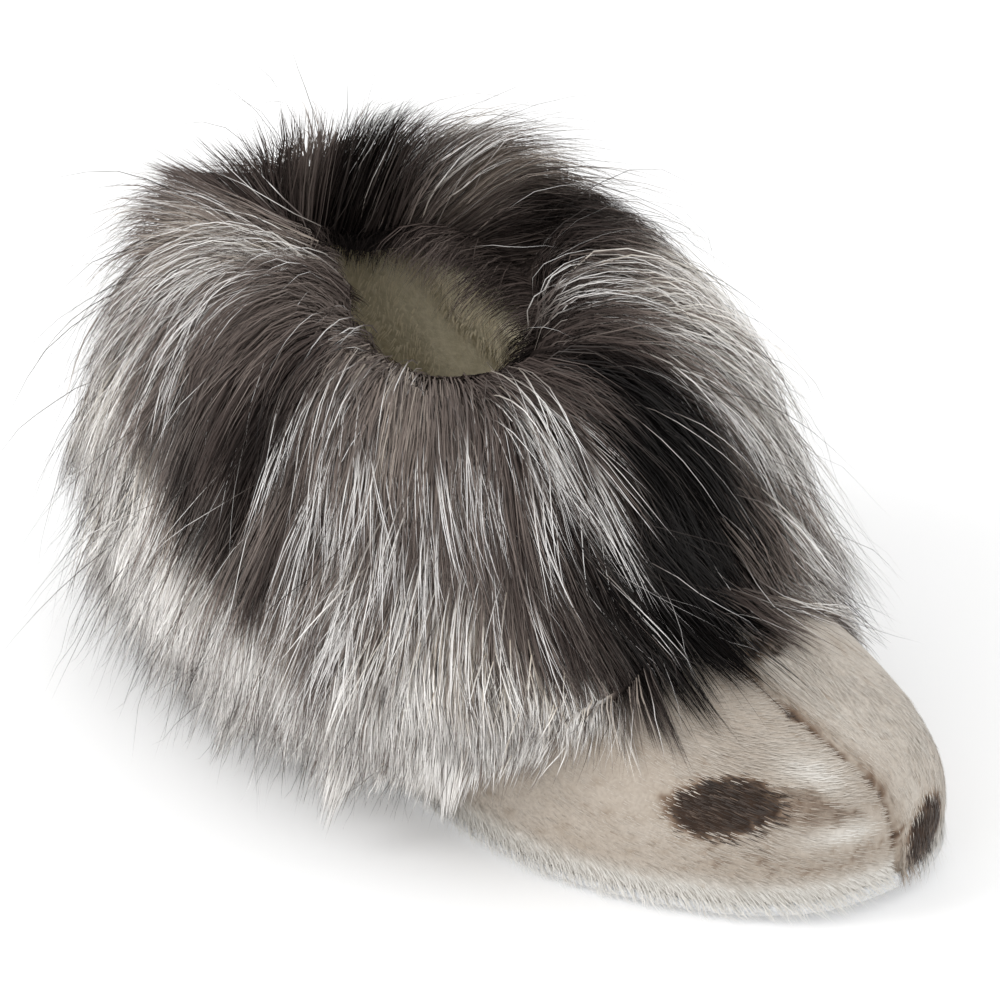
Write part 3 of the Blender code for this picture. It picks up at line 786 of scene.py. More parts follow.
def make_lining():
    """Cream pile inside the shaft, lying down into the slipper in soft curls."""
    chance = np.random.default_rng(31)
    angles, steps = LAST.scatter(LINING_HAIRS, chance, lambda a, s: (s > LINING_FROM) * (0.4 + s))
    place, normal, around, up = LAST.at(angles, steps, "place", "normal", "around", "along")
    place = place - normal * lining_inset(place, steps)[:, None]
    curl = drift(place, 7 * MM, 6)
    way = unit(-up + around * (0.6 * curl[:, :1]) - normal * 0.10)
    half = (LINING_LENGTH * chance.uniform(0.6, 1.2, LINING_HAIRS) / 2)[:, None]
    middle = place + way * half - normal * 0.3 * MM
    tip = middle + unit(way + around * (0.7 * curl[:, 1:2]) + normal * 0.08) * half
    spines = np.stack((place, middle, tip), axis=1)
    facing = unit(-normal + chance.normal(0, 0.08, normal.shape))
    widths = LINING_WIDTH * chance.uniform(0.6, 1.3, LINING_HAIRS)
    tones = chance.uniform(0, 1, LINING_HAIRS)
    strands("lining_pile", "cream_pile", spines, widths, facing, tones, PILE_HAIR)


def inset_line(angles, inset):
    """Sole seam in plan, moved inward by a distance."""
    line = sole_seam(angles)
    around = np.roll(line, -1, axis=0) - np.roll(line, 1, axis=0)
    return line + inset * unit(np.stack((-around[:, 1], around[:, 0]), axis=1))


def stand(plan, height):
    """Points over places in plan, so high above the sole's underside."""
    return np.column_stack((plan, ground(plan[:, 0], plan[:, 1]) + height))


def worn(plan):
    """Depth of the dents that heel and ball leave in the footbed."""
    return PAD_DENT * sum(np.exp(-((plan - (0, y)) ** 2).sum(axis=1) / wide ** 2) for y, wide in PAD_DENTS)


def disc_rings(line, count, height, dented=0.0):
    """Rings that close a loop of points down to its middle line, at a height, less the footbed's dents."""
    line = line[:, :2]
    middle = line * (0.0, 1.0)
    middle[:, 1] = np.clip(middle[:, 1], line[:, 1].min() * 0.78, line[:, 1].max() * 0.35)
    plans = [line * (1 - share) + middle * share for share in np.linspace(0, 1, count)[1:]]
    return [stand(plan, height - dented * worn(plan)) for plan in plans]


def make_sole():
    """Suede tray, rolled up round the edge, with a nubby face."""
    angles = all_round(SOLE_COLUMNS)
    top = seam_height(angles)
    rings = [stand(inset_line(angles, inset), share * top) for inset, share in TRAY_PROFILE]
    rings += disc_rings(rings[-1], 26, 0.0)
    seam = sole_seam(angles)
    rim = np.column_stack((inset_line(angles, SOLE_RIM), ground(seam[:, 0], seam[:, 1]) + top))
    floor = stand(inset_line(angles, SOLE_RIM + SOLE_FLOOR / 4), SOLE_FLOOR)
    inner = [rim, floor] + disc_rings(floor, 8, SOLE_FLOOR)
    stack = np.array(inner[::-1] + rings)
    nubs = drift(stack.reshape(-1, 3), 1.6 * MM, 12)[:, 0].reshape(stack.shape[:2])
    strip = np.zeros(len(stack))
    strip[len(inner) + 1:len(inner) + len(TRAY_PROFILE) - 2] = SOLE_NUBS
    stack = stack + outward(angles) * (nubs * strip[:, None])[..., None]
    faces = ring_faces(len(stack), SOLE_COLUMNS)[:, ::-1]
    new_piece("suede_outsole", stack.reshape(-1, 3), (faces,), (SUEDE,), stands_for="outsole")


def make_insole():
    """Footbed of cream pile with a soft dent under heel and ball."""
    angles = all_round(PAD_COLUMNS)
    edge = WALL + INSOLE_CLEARANCE
    rings = [stand(inset_line(angles, edge + inset), PAD_BOTTOM + share * INSOLE_THICKNESS)
             for inset, share in PAD_PROFILE]
    under, over = disc_rings(rings[0], 4, PAD_BOTTOM), disc_rings(rings[-1], 12, PAD_TOP, dented=1.0)
    stack = np.array(under[::-1] + rings + over)
    faces = ring_faces(len(stack), PAD_COLUMNS)
    pad = new_piece("pile_insole", stack.reshape(-1, 3), (faces,), (INSOLE_GROUND,),
                    stands_for="insole")
    make_insole_pile(inset_line(angles, edge + 1.5 * MM))


def make_insole_pile(edge):
    """Curly pile that stands on the footbed inside a line."""
    chance = np.random.default_rng(33)
    x, y = (chance.uniform(*ends, 4 * INSOLE_HAIRS) for ends in ((-0.045, 0.045), (-0.205, 0.040)))
    sides = []
    for part in np.split(edge, 2):
        order = np.argsort(part[:, 1])
        sides.append(np.interp(y, part[order, 1], part[order, 0]))
    plan = np.column_stack((x, y))[(x < sides[0]) & (x > sides[1])][:INSOLE_HAIRS]
    root = stand(plan, PAD_TOP - worn(plan) - 0.3 * MM)
    lean = drift(root, 8 * MM, 34)
    way = unit(np.column_stack((lean[:, 0], lean[:, 1] - 0.3, np.full(len(root), 0.8))))
    middle = root + way * INSOLE_LENGTHS[0]
    tip = middle + unit(way * (1, 1, -0.1) + lean * 0.4) * INSOLE_LENGTHS[1]
    spines = np.stack((root, middle, tip), axis=1)
    facing = unit(chance.normal(0, 0.5, root.shape) + (0, 0, 1))
    widths, tones = np.full(len(root), INSOLE_WIDTH), chance.uniform(0, 1, len(root))
    strands("insole_pile", "cream_pile", spines, widths, facing, tones, INSOLE_HAIR)


# ---------------------------------------------------------------- fur cuff
# Where the fur's body departs from the solids' form. Columns: angle in degrees, row, spread in degrees,
# spread in rows, shift towards the opening, drop.
BODY_SHIFTS = (
    (214, 0.3, 50, 1.5, 0.024, 0.000),
    (276, 0.4, 26, 1.3, 0.011, -0.002),
    (332, 1.7, 34, 1.5, 0.000, 0.0085),
    (130, 0.2, 28, 1.2, 0.008, 0.006),
    (226, 2.6, 34, 1.6, 0.005, 0.003),
    (50, 0.2, 34, 1.2, -0.004, 0.003),
    (14, 0.6, 18, 1.6, 0.000, 0.006),
    (298, 7.3, 26, 1.4, 0.007, -0.006),
    (48, 4.4, 28, 1.7, -0.011, 0.000),
    (46, 7.4, 34, 1.4, 0.010, -0.004),
)


def body_point(angles, rows):
    """Points of the fur's body: the cuff's form, leaning over the opening at the heel, lower in front."""
    point = fur_point(angles, rows)
    for *place, shift, drop in BODY_SHIFTS:
        weight = np.exp(-apart(angles, rows, *place))
        point -= outward(angles) * (weight * shift)[..., None]
        point[..., 2] -= weight * drop
    return point


CUFF = Skin(body_point, 0.0, 8.0, -1.0)
CORE_COLUMNS, CORE_ROWS, PELT_ROWS = 150, 35, 7
CORE_DEPTH = 3.5 * MM
PELT_GAP = 0.8 * MM

# How the fur is combed. Columns: angle in degrees and row; turn off the downhill line in degrees, where
# positive goes on round from toe over inner side to heel; lift off the body at root and tip in degrees;
# length; droop.
COMB = (
    (315, 0.5, -8, 18, 8, 0.034, 0.30),
    (345, 0.5, 8, 20, 10, 0.032, 0.20),
    (15, 0.5, 14, 26, 14, 0.036, 0.10),
    (45, 0.5, 0, 36, 20, 0.042, 0.05),
    (75, 0.5, -62, 22, 8, 0.044, 0.00),
    (105, 0.5, -74, 28, 10, 0.050, 0.00),
    (124, 0.5, -36, 54, 36, 0.044, 0.00),
    (140, 0.5, -12, 72, 58, 0.046, 0.00),
    (152, 0.5, 2, 78, 66, 0.048, 0.00),
    (170, 1.3, 36, 18, 6, 0.028, 0.15),
    (166, 2.5, 40, 16, 4, 0.028, 0.25),
    (184, 0.8, 10, 50, 28, 0.042, 0.05),
    (194, 2.2, 12, 42, 26, 0.048, 0.05),
    (202, 0.5, 16, 32, 8, 0.042, 0.10),
    (220, 0.5, 15, 26, 4, 0.042, 0.15),
    (245, 0.5, 6, 26, 6, 0.042, 0.25),
    (275, 0.5, -14, 22, 6, 0.038, 0.30),
    (295, 0.5, -34, 18, 6, 0.038, 0.30),
    (315, 2.5, -8, 14, 6, 0.044, 0.35),
    (340, 2.5, 2, 18, 8, 0.042, 0.25),
    (0, 2.5, 26, 26, 8, 0.046, 0.20),
    (30, 2.5, 10, 42, -6, 0.054, 0.40),
    (60, 2.5, -18, 36, -4, 0.050, 0.40),
    (90, 2.5, -58, 22, 4, 0.046, 0.12),
    (118, 2.5, -48, 34, 14, 0.048, 0.05),
    (146, 2.5, -10, 50, 30, 0.040, 0.05),
    (178, 2.5, 6, 40, 16, 0.042, 0.15),
    (210, 2.5, 10, 18, 4, 0.044, 0.25),
    (240, 2.5, 4, 16, 6, 0.044, 0.30),
    (265, 2.5, -6, 22, 8, 0.044, 0.30),
    (290, 2.5, -22, 20, 8, 0.044, 0.35),
    (315, 4.5, -14, 20, 8, 0.048, 0.35),
    (345, 4.5, 4, 22, 6, 0.044, 0.25),
    (12, 4.5, 10, 32, -6, 0.042, 0.45),
    (40, 4.5, 12, 44, -10, 0.050, 0.50),
    (75, 4.5, 4, 42, -6, 0.052, 0.50),
    (105, 4.5, -8, 26, 8, 0.046, 0.35),
    (150, 4.5, -5, 26, 10, 0.044, 0.30),
    (195, 4.5, 0, 26, 14, 0.044, 0.30),
    (225, 4.5, 2, 22, 18, 0.048, 0.30),
    (245, 4.5, -8, 24, 20, 0.052, 0.35),
    (270, 4.5, -12, 22, 12, 0.050, 0.35),
    (292, 4.5, -12, 18, 8, 0.044, 0.30),
    (300, 7.2, -14, 12, 4, 0.018, 0.25),
    (318, 7.2, -12, 12, 4, 0.026, 0.20),
    (334, 7.2, -8, 12, 4, 0.040, 0.15),
    (348, 7.2, -2, 10, 3, 0.054, 0.10),
    (8, 7.2, 2, 10, 3, 0.050, 0.15),
    (40, 7.2, 6, 12, 2, 0.028, 0.50),
    (75, 7.2, -4, 14, 4, 0.032, 0.55),
    (120, 7.2, -5, 18, 8, 0.034, 0.35),
    (180, 7.2, 0, 20, 12, 0.036, 0.35),
    (222, 7.2, -4, 34, 26, 0.044, 0.35),
    (248, 7.2, -10, 28, 20, 0.034, 0.35),
    (276, 7.2, -14, 18, 8, 0.022, 0.35),
)
COMB_ANGLE, COMB_ROW, COMB_NEAREST = 25, 1.5, 0.12
COMB_END = 6.6
TUFT_STRETCH = (0.8, 1.3)
HIDE_FROM, HIDE_TO, HIDE_STEP = 6.2, 7.6, 0.10

# Colour zones of the fur. Columns: name, angle in degrees, row, spread in degrees, spread in rows,
# change of the share of silver hair, change of the underfur's tone.
ZONES = (
    # black_front and black_inner darken the fur for its own black and partly as painted shade.
    ("black_front", 350, 7.7, 34, 1.8, -0.60, -0.52),
    ("black_middle", 342, 5.4, 13, 1.2, -0.20, -0.02),
    ("black_inner", 15, 6.0, 19, 1.6, -0.60, -0.50),
    ("black_gap", 12, 1.2, 22, 1.4, -0.50, -0.44),
    ("black_inner_gap", 14, 4.0, 12, 1.2, -0.80, -0.52),
    ("inner_silver", 44, 4.2, 20, 1.4, 0.80, 0.22),
    ("inner_far_dark", 60, 2.6, 14, 1.0, -0.80, -0.30),
    ("front_streaks", 352, 5.1, 12, 0.6, 0.45, -0.06),
    ("inner_edge_silver", 60, 5.4, 26, 2.8, 1.10, 0.26),
    ("heel_taupe", 216, 2.2, 46, 2.7, 0.20, 0.27),
    ("heel_tuft", 184, 1.6, 20, 2.2, -0.10, -0.26),
    ("mouth_heel", 205, 0.2, 24, 0.9, -0.20, -0.24),
    ("whorl_pale", 250, 1.7, 15, 0.9, 0.10, 0.20),
    ("outer_taupe", 300, 1.8, 36, 1.4, 0.10, 0.14),
    ("top_tufts", 152, 2.0, 18, 1.8, -0.10, 0.10),
    ("far_silver", 98, 2.8, 25, 2.0, 0.60, 0.26),
    ("far_dark", 124, 0.6, 24, 1.4, -0.30, -0.32),
    ("outer_cleft_top", 286, 4.0, 8, 1.3, -0.80, -0.34),
    ("outer_cleft_low", 270, 5.2, 8, 1.2, -0.80, -0.42),
    ("outer_back_white", 238, 7.2, 28, 2.1, 0.30, 1.60),
    ("outer_low_cream", 275, 7.7, 33, 1.8, 0.45, 0.90),
    ("outer_hem_pale", 305, 7.9, 13, 0.9, 0.40, 0.34),
    ("outer_streaks", 304, 4.4, 30, 2.4, 1.05, 0.09),
    ("inner_low_pale", 76, 7.8, 26, 1.0, 0.25, 0.35),
)
ZONE_WANDER = (6, 0.4)
SILVER_SHARE = 0.12
UNDERFUR_TONE = 0.42

# Dense bundles of silver hair. Columns: name, angle in degrees and row of the roots, spread in degrees,
# spread in rows, density.
BUNDLES = (
    ("inner_top", 25, 1.6, 8, 1.0, 3.4),
    ("inner_middle", 36, 3.0, 10, 1.2, 4.2),
    ("inner_edge", 56, 4.4, 14, 1.7, 3.6),
    ("front_gap", 343, 2.5, 6, 0.8, 2.4),
    ("front_low", 352, 3.6, 5, 0.7, 2.2),
    ("gap_bare", 4, 2.4, 10, 1.5, -5.0),
    ("black_bare", 18, 4.6, 9, 1.1, -5.0),
    ("far_bare", 74, 1.1, 17, 1.1, -4.0),
    ("cleft_bare", 290, 2.4, 7, 1.4, -2.0),
    ("cleft_bare_low", 279, 3.8, 7, 1.4, -2.0),
    ("whorl_low", 262, 1.6, 10, 1.0, 1.6),
    ("whorl_side", 240, 2.6, 12, 1.0, 1.2),
)
SILVER_SETBACK = 1.6

# Locks that stand out of the fur, set one by one. Columns: name, angle in degrees and row of the root, reach
# of the hair drawn in, then how far the tip goes outward, round the foot and up, all in mm, and the pull.
LOCKS = (
    ("heel_left", 186, 1.2, 20, 46, 0, 14, 0.90),
    ("heel_notch", 167, 1.7, 12, 28, 20, -2, 0.90),
    ("heel_left_low", 206, 2.0, 12, 34, 4, 0, 0.70),
    ("heel_top", 155, 0.5, 12, 7, -5, 43, 0.95),
    ("crown", 130, 1.0, 15, 14, -16, 32, 0.85),
    ("crown_far", 112, 1.2, 12, 20, -24, 20, 0.70),
    ("back_outer_dark", 226, 4.2, 8, 19, 2, -36, 0.80),
    ("back_outer_low", 234, 5.8, 9, 20, 0, -32, 0.80),
    ("low_left", 250, 6.8, 8, 13, 0, -34, 0.80),
    ("low_middle", 268, 6.8, 8, 15, 2, -29, 0.85),
    ("low_right", 284, 6.9, 8, 10, 2, -22, 0.75),
    ("hem_outer", 322, 7.4, 7, 26, 6, -20, 0.80),
    ("hem_tuft_outer", 334, 7.3, 7, 38, 5, -20, 0.90),
    ("hem_tuft_middle", 344, 7.3, 7, 41, 5, -18, 0.90),
    ("hem_tuft_seam", 356, 7.4, 7, 40, 4, -12, 0.80),
    ("hem_inner", 14, 7.4, 8, 34, 0, -14, 0.75),
)
LOCK_GATHERS, LOCK_BULGE = 0.8, 5 * MM

HAIR_CLEARANCE = 1.2 * MM
HIDE_NEAR = 14 * MM
ROOM = ((-0.1095, -0.234, FLOOR), (0.1022, 0.1090, 0.1614))
ROOM_SOFT = (12 * MM, 12 * MM, 6 * MM)
LYING_FROM = 6 * MM

UNDER_HAIRS, UNDER_WIDTH = 50000, 0.48 * MM
DARK_HAIRS, DARK_WIDTH = 22000, 0.32 * MM
SILVER_HAIRS, SILVER_WIDTH = 21600, 0.39 * MM
WISP, WISP_SPREAD, WISP_STRAY = 9, (1.0, 4.0), 1.7 * MM
STRAY_HAIRS, STRAY_WIDTH = 2400, 0.22 * MM
RIM_HAIRS, RIM_WIDTH, RIM_LENGTH = 4600, 0.30 * MM, 11 * MM
# The rim hair is a little darker than the fur's tone there: painted shade at the opening's edge.
RIM_DEPTH, RIM_PAINTED_SHADE = 3 * MM, -0.04
RIM_DROPS = (0.5, 0.1, -0.6, -1.2)


def comb_at(angles, rows):
    """The comb's five values at each place, weighing the guides by their nearness."""
    total, weights = np.zeros((len(angles), 5)), np.zeros(len(angles))
    for line in np.array(COMB):
        weight = (apart(angles, rows, line[0], line[1], COMB_ANGLE, COMB_ROW) + COMB_NEAREST) ** -2.0
        total += weight[:, None] * line[2:]
        weights += weight
    return total / weights[:, None]


def zone_values(angles, rows):
    """Share of silver hair and underfur tone at each place, with the zones' borders wandering a little."""
    silver, under = np.full(len(angles), SILVER_SHARE), np.full(len(angles), UNDERFUR_TONE)
    place = CUFF.at(angles, rows, "place")
    wander = drift(place, 17 * MM, 91) + 0.5 * drift(place, 6 * MM, 92)
    angles = angles + math.radians(ZONE_WANDER[0]) * wander[:, 0]
    rows = rows + ZONE_WANDER[1] * wander[:, 1]
    for _, angle, row, wide, high, silver_change, under_change in ZONES:
        weight = np.exp(-apart(angles, rows, angle, row, wide, high) ** 1.7)
        silver += silver_change * weight
        under += under_change * weight
    return silver, under


def flow(angles, rows, lengths, lift_root, lift_tip, turn, steps, droop):
    """Spines that leave the body, follow its form downhill and then hang."""
    place, normal = CUFF.at(angles, rows, "place", "normal")
    place = place - normal * (CORE_DEPTH * 0.8)
    spine = [place]
    at = rows.copy()
    stride = (lengths / steps)[:, None]
    hem = hem_step(angles) - HIDE_STEP
    hide_normal, hide_up = LAST.at(angles, hem, "normal", "along")
    for step in range(steps):
        share = step / (steps - 1)
        comb = np.minimum(at, np.maximum(rows, COMB_END))
        around, normal, down, per_row = CUFF.at(angles, comb, "around", "normal", "along", "stride")
        to_hide = ease(at, HIDE_FROM, HIDE_TO)[:, None]
        normal = unit(normal * (1 - to_hide) + hide_normal * to_hide)
        down = unit(down * (1 - to_hide) - hide_up * to_hide)
        lift = lift_root * (1 - share) + lift_tip * share
        way = between(between(down, around, turn), normal, lift)
        way[:, 2] -= droop * (0.15 + 0.85 * share)
        place = place + unit(way) * stride
        spine.append(place)
        at = at + (stride / per_row)[:, 0] * np.cos(lift) * np.cos(turn)
    return np.stack(spine, axis=1)


def seen_places(spines, share):
    """Angle and row of the body's surface nearest to each hair at a share of its length."""
    angles, rows, place = (table[::3, ::3] for table in (*CUFF.grid, CUFF.place))
    tree = nearest_of(place.reshape(-1, 3))
    at = share * (spines.shape[1] - 1)
    first = int(at)
    points = spines[:, first] * (1 - at + first) + spines[:, first + 1] * (at - first)
    found = np.array([tree.find(point)[1] for point in points])
    return angles.ravel()[found], rows.ravel()[found]


def keep_clear(spines, rows):
    """Leads hair that would go into the hide over it, and keeps all of it in its room."""
    low = np.where(rows > 4.0)[0]
    flat = spines[low]
    for smooth in (True, False):
        push = np.zeros_like(flat)
        for i, step in np.ndindex(len(low), spines.shape[1] - 1):
            point = Vector(flat[i, step + 1])
            near, normal, _, _ = UPPER_TREE.find_nearest(point, HIDE_NEAR)
            if near is not None and (point - near).dot(normal) < HAIR_CLEARANCE:
                push[i, step + 1] = near + normal * HAIR_CLEARANCE - point
        if smooth:
            push[:, 1:-1] = (push[:, :-2] + 2 * push[:, 1:-1] + push[:, 2:]) / 4
        flat = flat + push
    spines[low] = flat
    return keep_in(spines)


def keep_in(spines):
    """Bends hair that would reach too far back towards the slipper, and lays it on the floor."""
    for axis, (low, high, soft) in enumerate(zip(*ROOM, ROOM_SOFT)):
        value = spines[..., axis]
        over = np.maximum(value - (high - soft), 0)
        value = np.where(over > 0, high - soft * np.exp(-over / soft), value)
        soft = LYING_FROM - FLOOR if axis == 2 else soft
        under = np.maximum(low + soft - value, 0)
        spines[..., axis] = np.where(under > 0, low + soft * np.exp(-under / soft), value)
    return spines


def lay(angles, rows, chance, share_of_length, steps, wild):
    """Spines of hair rooted at these places, with a slow sway and a little chance."""
    place, count = CUFF.at(angles, rows, "place"), len(rows)
    turn, root, tip, length, droop = comb_at(angles, rows).T
    fringe = 1 - 0.55 * ease(rows, 5.8, 7.4) * chance.uniform(0, 1, count)
    length = length * share_of_length * chance.uniform(0.75, 1.15, count) * fringe
    sway, stir = drift(place, 34 * MM, 41), drift(place, 15 * MM, 42)
    turn = np.radians(turn) + 0.20 * sway[:, 0] + 0.16 * stir[:, 0] + chance.normal(0, 0.07 * wild, count)
    lift = 0.12 * sway[:, 1] + 0.14 * stir[:, 1] + chance.normal(0, 0.05 * wild, count)
    lifts = np.radians(root) + lift, np.radians(tip) + 0.8 * lift
    return flow(angles, rows, length, *lifts, turn, steps, droop)


def gather(spines, chance, tufts, wild, pull, seed):
    """Draws each hair's outer part towards the leading hair of its tuft."""
    steps = spines.shape[1] - 1
    seeds = np.random.default_rng(seed)
    tuft_angles, tuft_rows = CUFF.scatter(tufts, seeds, lambda a, r: np.ones_like(a))
    centres = lay(tuft_angles, tuft_rows, seeds, 1.0, steps, wild)
    tree = nearest_of(centres[:, 0])
    nearest = [tree.find(point)[1] for point in spines[:, 0]]
    leader = centres[nearest]
    stretch = seeds.uniform(*TUFT_STRETCH, tufts)[nearest]
    spines = spines[:, :1] + (spines - spines[:, :1]) * stretch[:, None, None]
    share = along_hair(steps)
    offset = (spines[:, :1] - leader[:, :1]) * (1 - 0.7 * share)
    own, lead = spines[:, -1] - spines[:, 0], leader[:, -1] - leader[:, 0]
    reach = np.linalg.norm(own, axis=1) / np.linalg.norm(lead, axis=1)
    path = leader[:, :1] + (leader - leader[:, :1]) * reach[:, None, None]
    strength = pull * chance.uniform(0.3, 1.0, len(spines))[:, None, None] * share ** 0.8
    return spines * (1 - strength) + (path + offset) * strength


def into_locks(spines, chance):
    """Draws the hair rooted near each listed lock towards that lock's tip."""
    share, roots = along_hair(spines.shape[1] - 1), spines[:, 0].copy()
    each = (len(roots), 1, 1)
    for _, angle, row, reach, out, on, up, pull in LOCKS:
        centre, normal = CUFF.one(angle, row, "place", "normal")
        turn = math.radians(angle)
        tip = (outward(turn) * out + onward(turn) * on + (0.0, 0.0, up)) * MM
        offset = roots - centre
        near = 1 - ease(np.linalg.norm(offset, axis=1) / (reach * MM), 0.5, 1.35)
        length = chance.uniform(0.65, 1.05, each)
        path = roots[:, None] + (tip * share + normal * LOCK_BULGE * share * (1 - share)) * length
        path = path - offset[:, None] * LOCK_GATHERS * share ** 0.8
        strength = pull * near[:, None, None] * chance.uniform(0.7, 1.0, each) * ease(share, 0.0, 0.6)
        spines = spines * (1 - strength) + path * strength
    return spines


def crimp(spines, chance, size, waves):
    """Gives long hair its fine waves, growing towards the tip."""
    count, share = len(spines), along_hair(spines.shape[1] - 1)
    across = unit(chance.normal(0, 1, (count, 1, 3)))
    phase = chance.uniform(0, 2 * math.pi, (count, 1, 1))
    often = waves * chance.uniform(0.7, 1.3, (count, 1, 1))
    return off_floor(spines + across * size * share ** 0.7 * np.sin(2 * math.pi * often * share + phase))


def wisps(chance, count, size, weight, share_of_length, steps, wild):
    """Hairs in wisps that run together towards one tip, with each hair's wisp and row."""
    lead_angles, lead_rows = CUFF.scatter(count // size, chance, weight)
    leaders = lay(lead_angles, lead_rows, chance, share_of_length, steps, wild)
    wisp, share = np.repeat(np.arange(count // size), size), along_hair(steps)
    loose = chance.normal(0, 1, (len(wisp), 1, 3))
    spread = loose * chance.uniform(*WISP_SPREAD, (count // size, 1, 1))[wisp] * MM
    length = chance.uniform(0.7, 1.08, (len(wisp), 1, 1))
    path = leaders[wisp]
    path = path[:, :1] + (path - path[:, :1]) * length
    stray = chance.normal(0, 1, (len(wisp), 1, 3)) * WISP_STRAY * share ** 1.3
    return path + spread * (1 - 0.72 * share) + stray, wisp, lead_rows[wisp]


def make_core():
    """The fur's depth, painted dark as shade: its body a little further in, closed along the pelt."""
    angles = all_round(CORE_COLUMNS)
    a, r = (part.ravel() for part in np.meshgrid(angles, np.linspace(0, 8, CORE_ROWS)))
    depth = CORE_DEPTH * np.sin(math.pi * np.clip(r, 0.3, 7.7) / 8) ** 0.3
    place, normal = CUFF.at(a, r, "place", "normal")
    stack = [(place - normal * depth[:, None]).reshape(CORE_ROWS, CORE_COLUMNS, 3)]
    hem = hem_step(angles)
    for share in np.linspace(0, 1, PELT_ROWS):
        place, normal = LAST.at(angles, hem + (1 - hem) * share, "place", "normal")
        stack.append((place + normal * PELT_GAP)[None])
    faces = ring_faces(CORE_ROWS + PELT_ROWS, CORE_COLUMNS, closed=True)[:, ::-1]
    tones = np.concatenate((zone_values(a, r)[1], np.full(PELT_ROWS * CORE_COLUMNS, 0.2)))
    new_piece("fur_core", np.concatenate(stack).reshape(-1, 3), (faces,), (FUR_DEPTH_SHADE,),
              stands_for="fur_cuff", tone=np.clip(tones, 0, 1))


def add_fur(name, spines, widths, tones, finish, chance, spread, pieces):
    """Fur hairs in equal pieces, each ribbon turned about its own line by chance."""
    outward = unit(spines[:, spines.shape[1] // 2] - np.array((0.0, -0.03, 0.07)))
    facing = unit(outward + chance.normal(0, spread, outward.shape))
    for number, part in enumerate(np.array_split(np.arange(len(spines)), pieces)):
        hairs = spines[part], widths[part], facing[part], tones[part]
        strands(f"{name}_{number + 1}", "long_fur", *hairs, finish)


def widths_of(width, count, chance, low=0.7, high=1.3):
    """Widths about one width."""
    return width * chance.uniform(low, high, count)


def tufted(chance, count, weight, laying, gathering):
    """Hair that covers the cuff in tufts: its spines, roots and underfur tone where it is seen."""
    angles, rows = CUFF.scatter(count, chance, weight)
    angles %= 2 * math.pi
    spines = gather(lay(angles, rows, chance, *laying), chance, *gathering)
    spines = into_locks(spines, chance)
    roots = spines[:, 0].copy()
    spines = keep_clear(spines, rows)
    return spines, roots, zone_values(*seen_places(spines, 0.75))[1]


def make_underfur():
    """Soft short wool that fills the cuff and gives it its colour."""
    chance, count = np.random.default_rng(61), UNDER_HAIRS
    spines, roots, under = tufted(chance, count, lambda a, r: 0.8 + 0.5 * (r < 2), (0.68, 3, 1.0),
                                  (520, 3.2, 0.4, 51))
    tones = under + 0.07 * drift(roots, 16 * MM, 62)[:, 0] + chance.normal(0, 0.035, count)
    widths = widths_of(UNDER_WIDTH, count, chance)
    add_fur("underfur", spines, widths, tones, UNDERFUR, chance, 0.22, 2)


def make_dark_hair():
    """Longer dark hair over the underfur, pale where the underfur is."""
    chance, count = np.random.default_rng(66), DARK_HAIRS
    spines, roots, under = tufted(chance, count, lambda a, r: 0.8 + 0.4 * (r > 3), (0.88, 4, 1.2),
                                  (700, 3.0, 0.55, 52))
    tones = 0.75 * under + 0.06 * drift(roots, 12 * MM, 67)[:, 0] + chance.normal(0, 0.06, count)
    pale = chance.uniform(0, 1, count) < 0.72 * ease(under, 0.68, 0.95)
    tones = np.where(pale, 0.9 + chance.normal(0, 0.06, count), np.minimum(tones, 0.44))
    widths = widths_of(DARK_WIDTH, count, chance)
    add_fur("dark_hair", spines, widths, tones, GUARD_HAIR, chance, 0.35, 2)


def silver_weight(angles, rows):
    """Where silver wisps grow: above the zones where they are seen, broken into patches."""
    flat = angles.ravel(), rows.ravel()
    silver, _ = zone_values(flat[0], flat[1] + SILVER_SETBACK)
    patch = drift(CUFF.at(*flat, "place"), 14 * MM, 73)[:, 0]
    weight = (np.clip(silver, 0.01, 1) * (0.25 + 1.5 * ease(patch, -0.3, 0.7))).reshape(angles.shape)
    for _, angle, row, wide, high, density in BUNDLES:
        weight += density * np.exp(-apart(angles, rows, angle, row, wide, high))
    return np.maximum(weight, 0.0)


def make_silver_hair():
    """Long silver guard hair in wisps, some of it dull."""
    chance, count = np.random.default_rng(71), SILVER_HAIRS
    spines, wisp, rows = wisps(chance, count, WISP, silver_weight, 1.12, 6, 1.9)
    spines = crimp(keep_clear(into_locks(spines, chance), rows), chance, 0.3 * MM, 2.2)
    _, under = zone_values(*seen_places(spines, 0.7))
    bundle = np.random.default_rng(72).normal(0, 0.05, count // WISP)[wisp]
    tones = 0.62 + bundle + 0.5 * ease(under, 0.5, 0.95) + chance.normal(0, 0.05, count)
    dull = chance.uniform(0, 1, count) < 0.14
    tones = np.where(dull, chance.uniform(0.2, 0.44, count), np.maximum(tones, 0.56))
    widths = widths_of(SILVER_WIDTH, count, chance, 0.5, 1.25)
    add_fur("silver_hair", spines, widths, tones, GUARD_HAIR, chance, 0.8, 2)


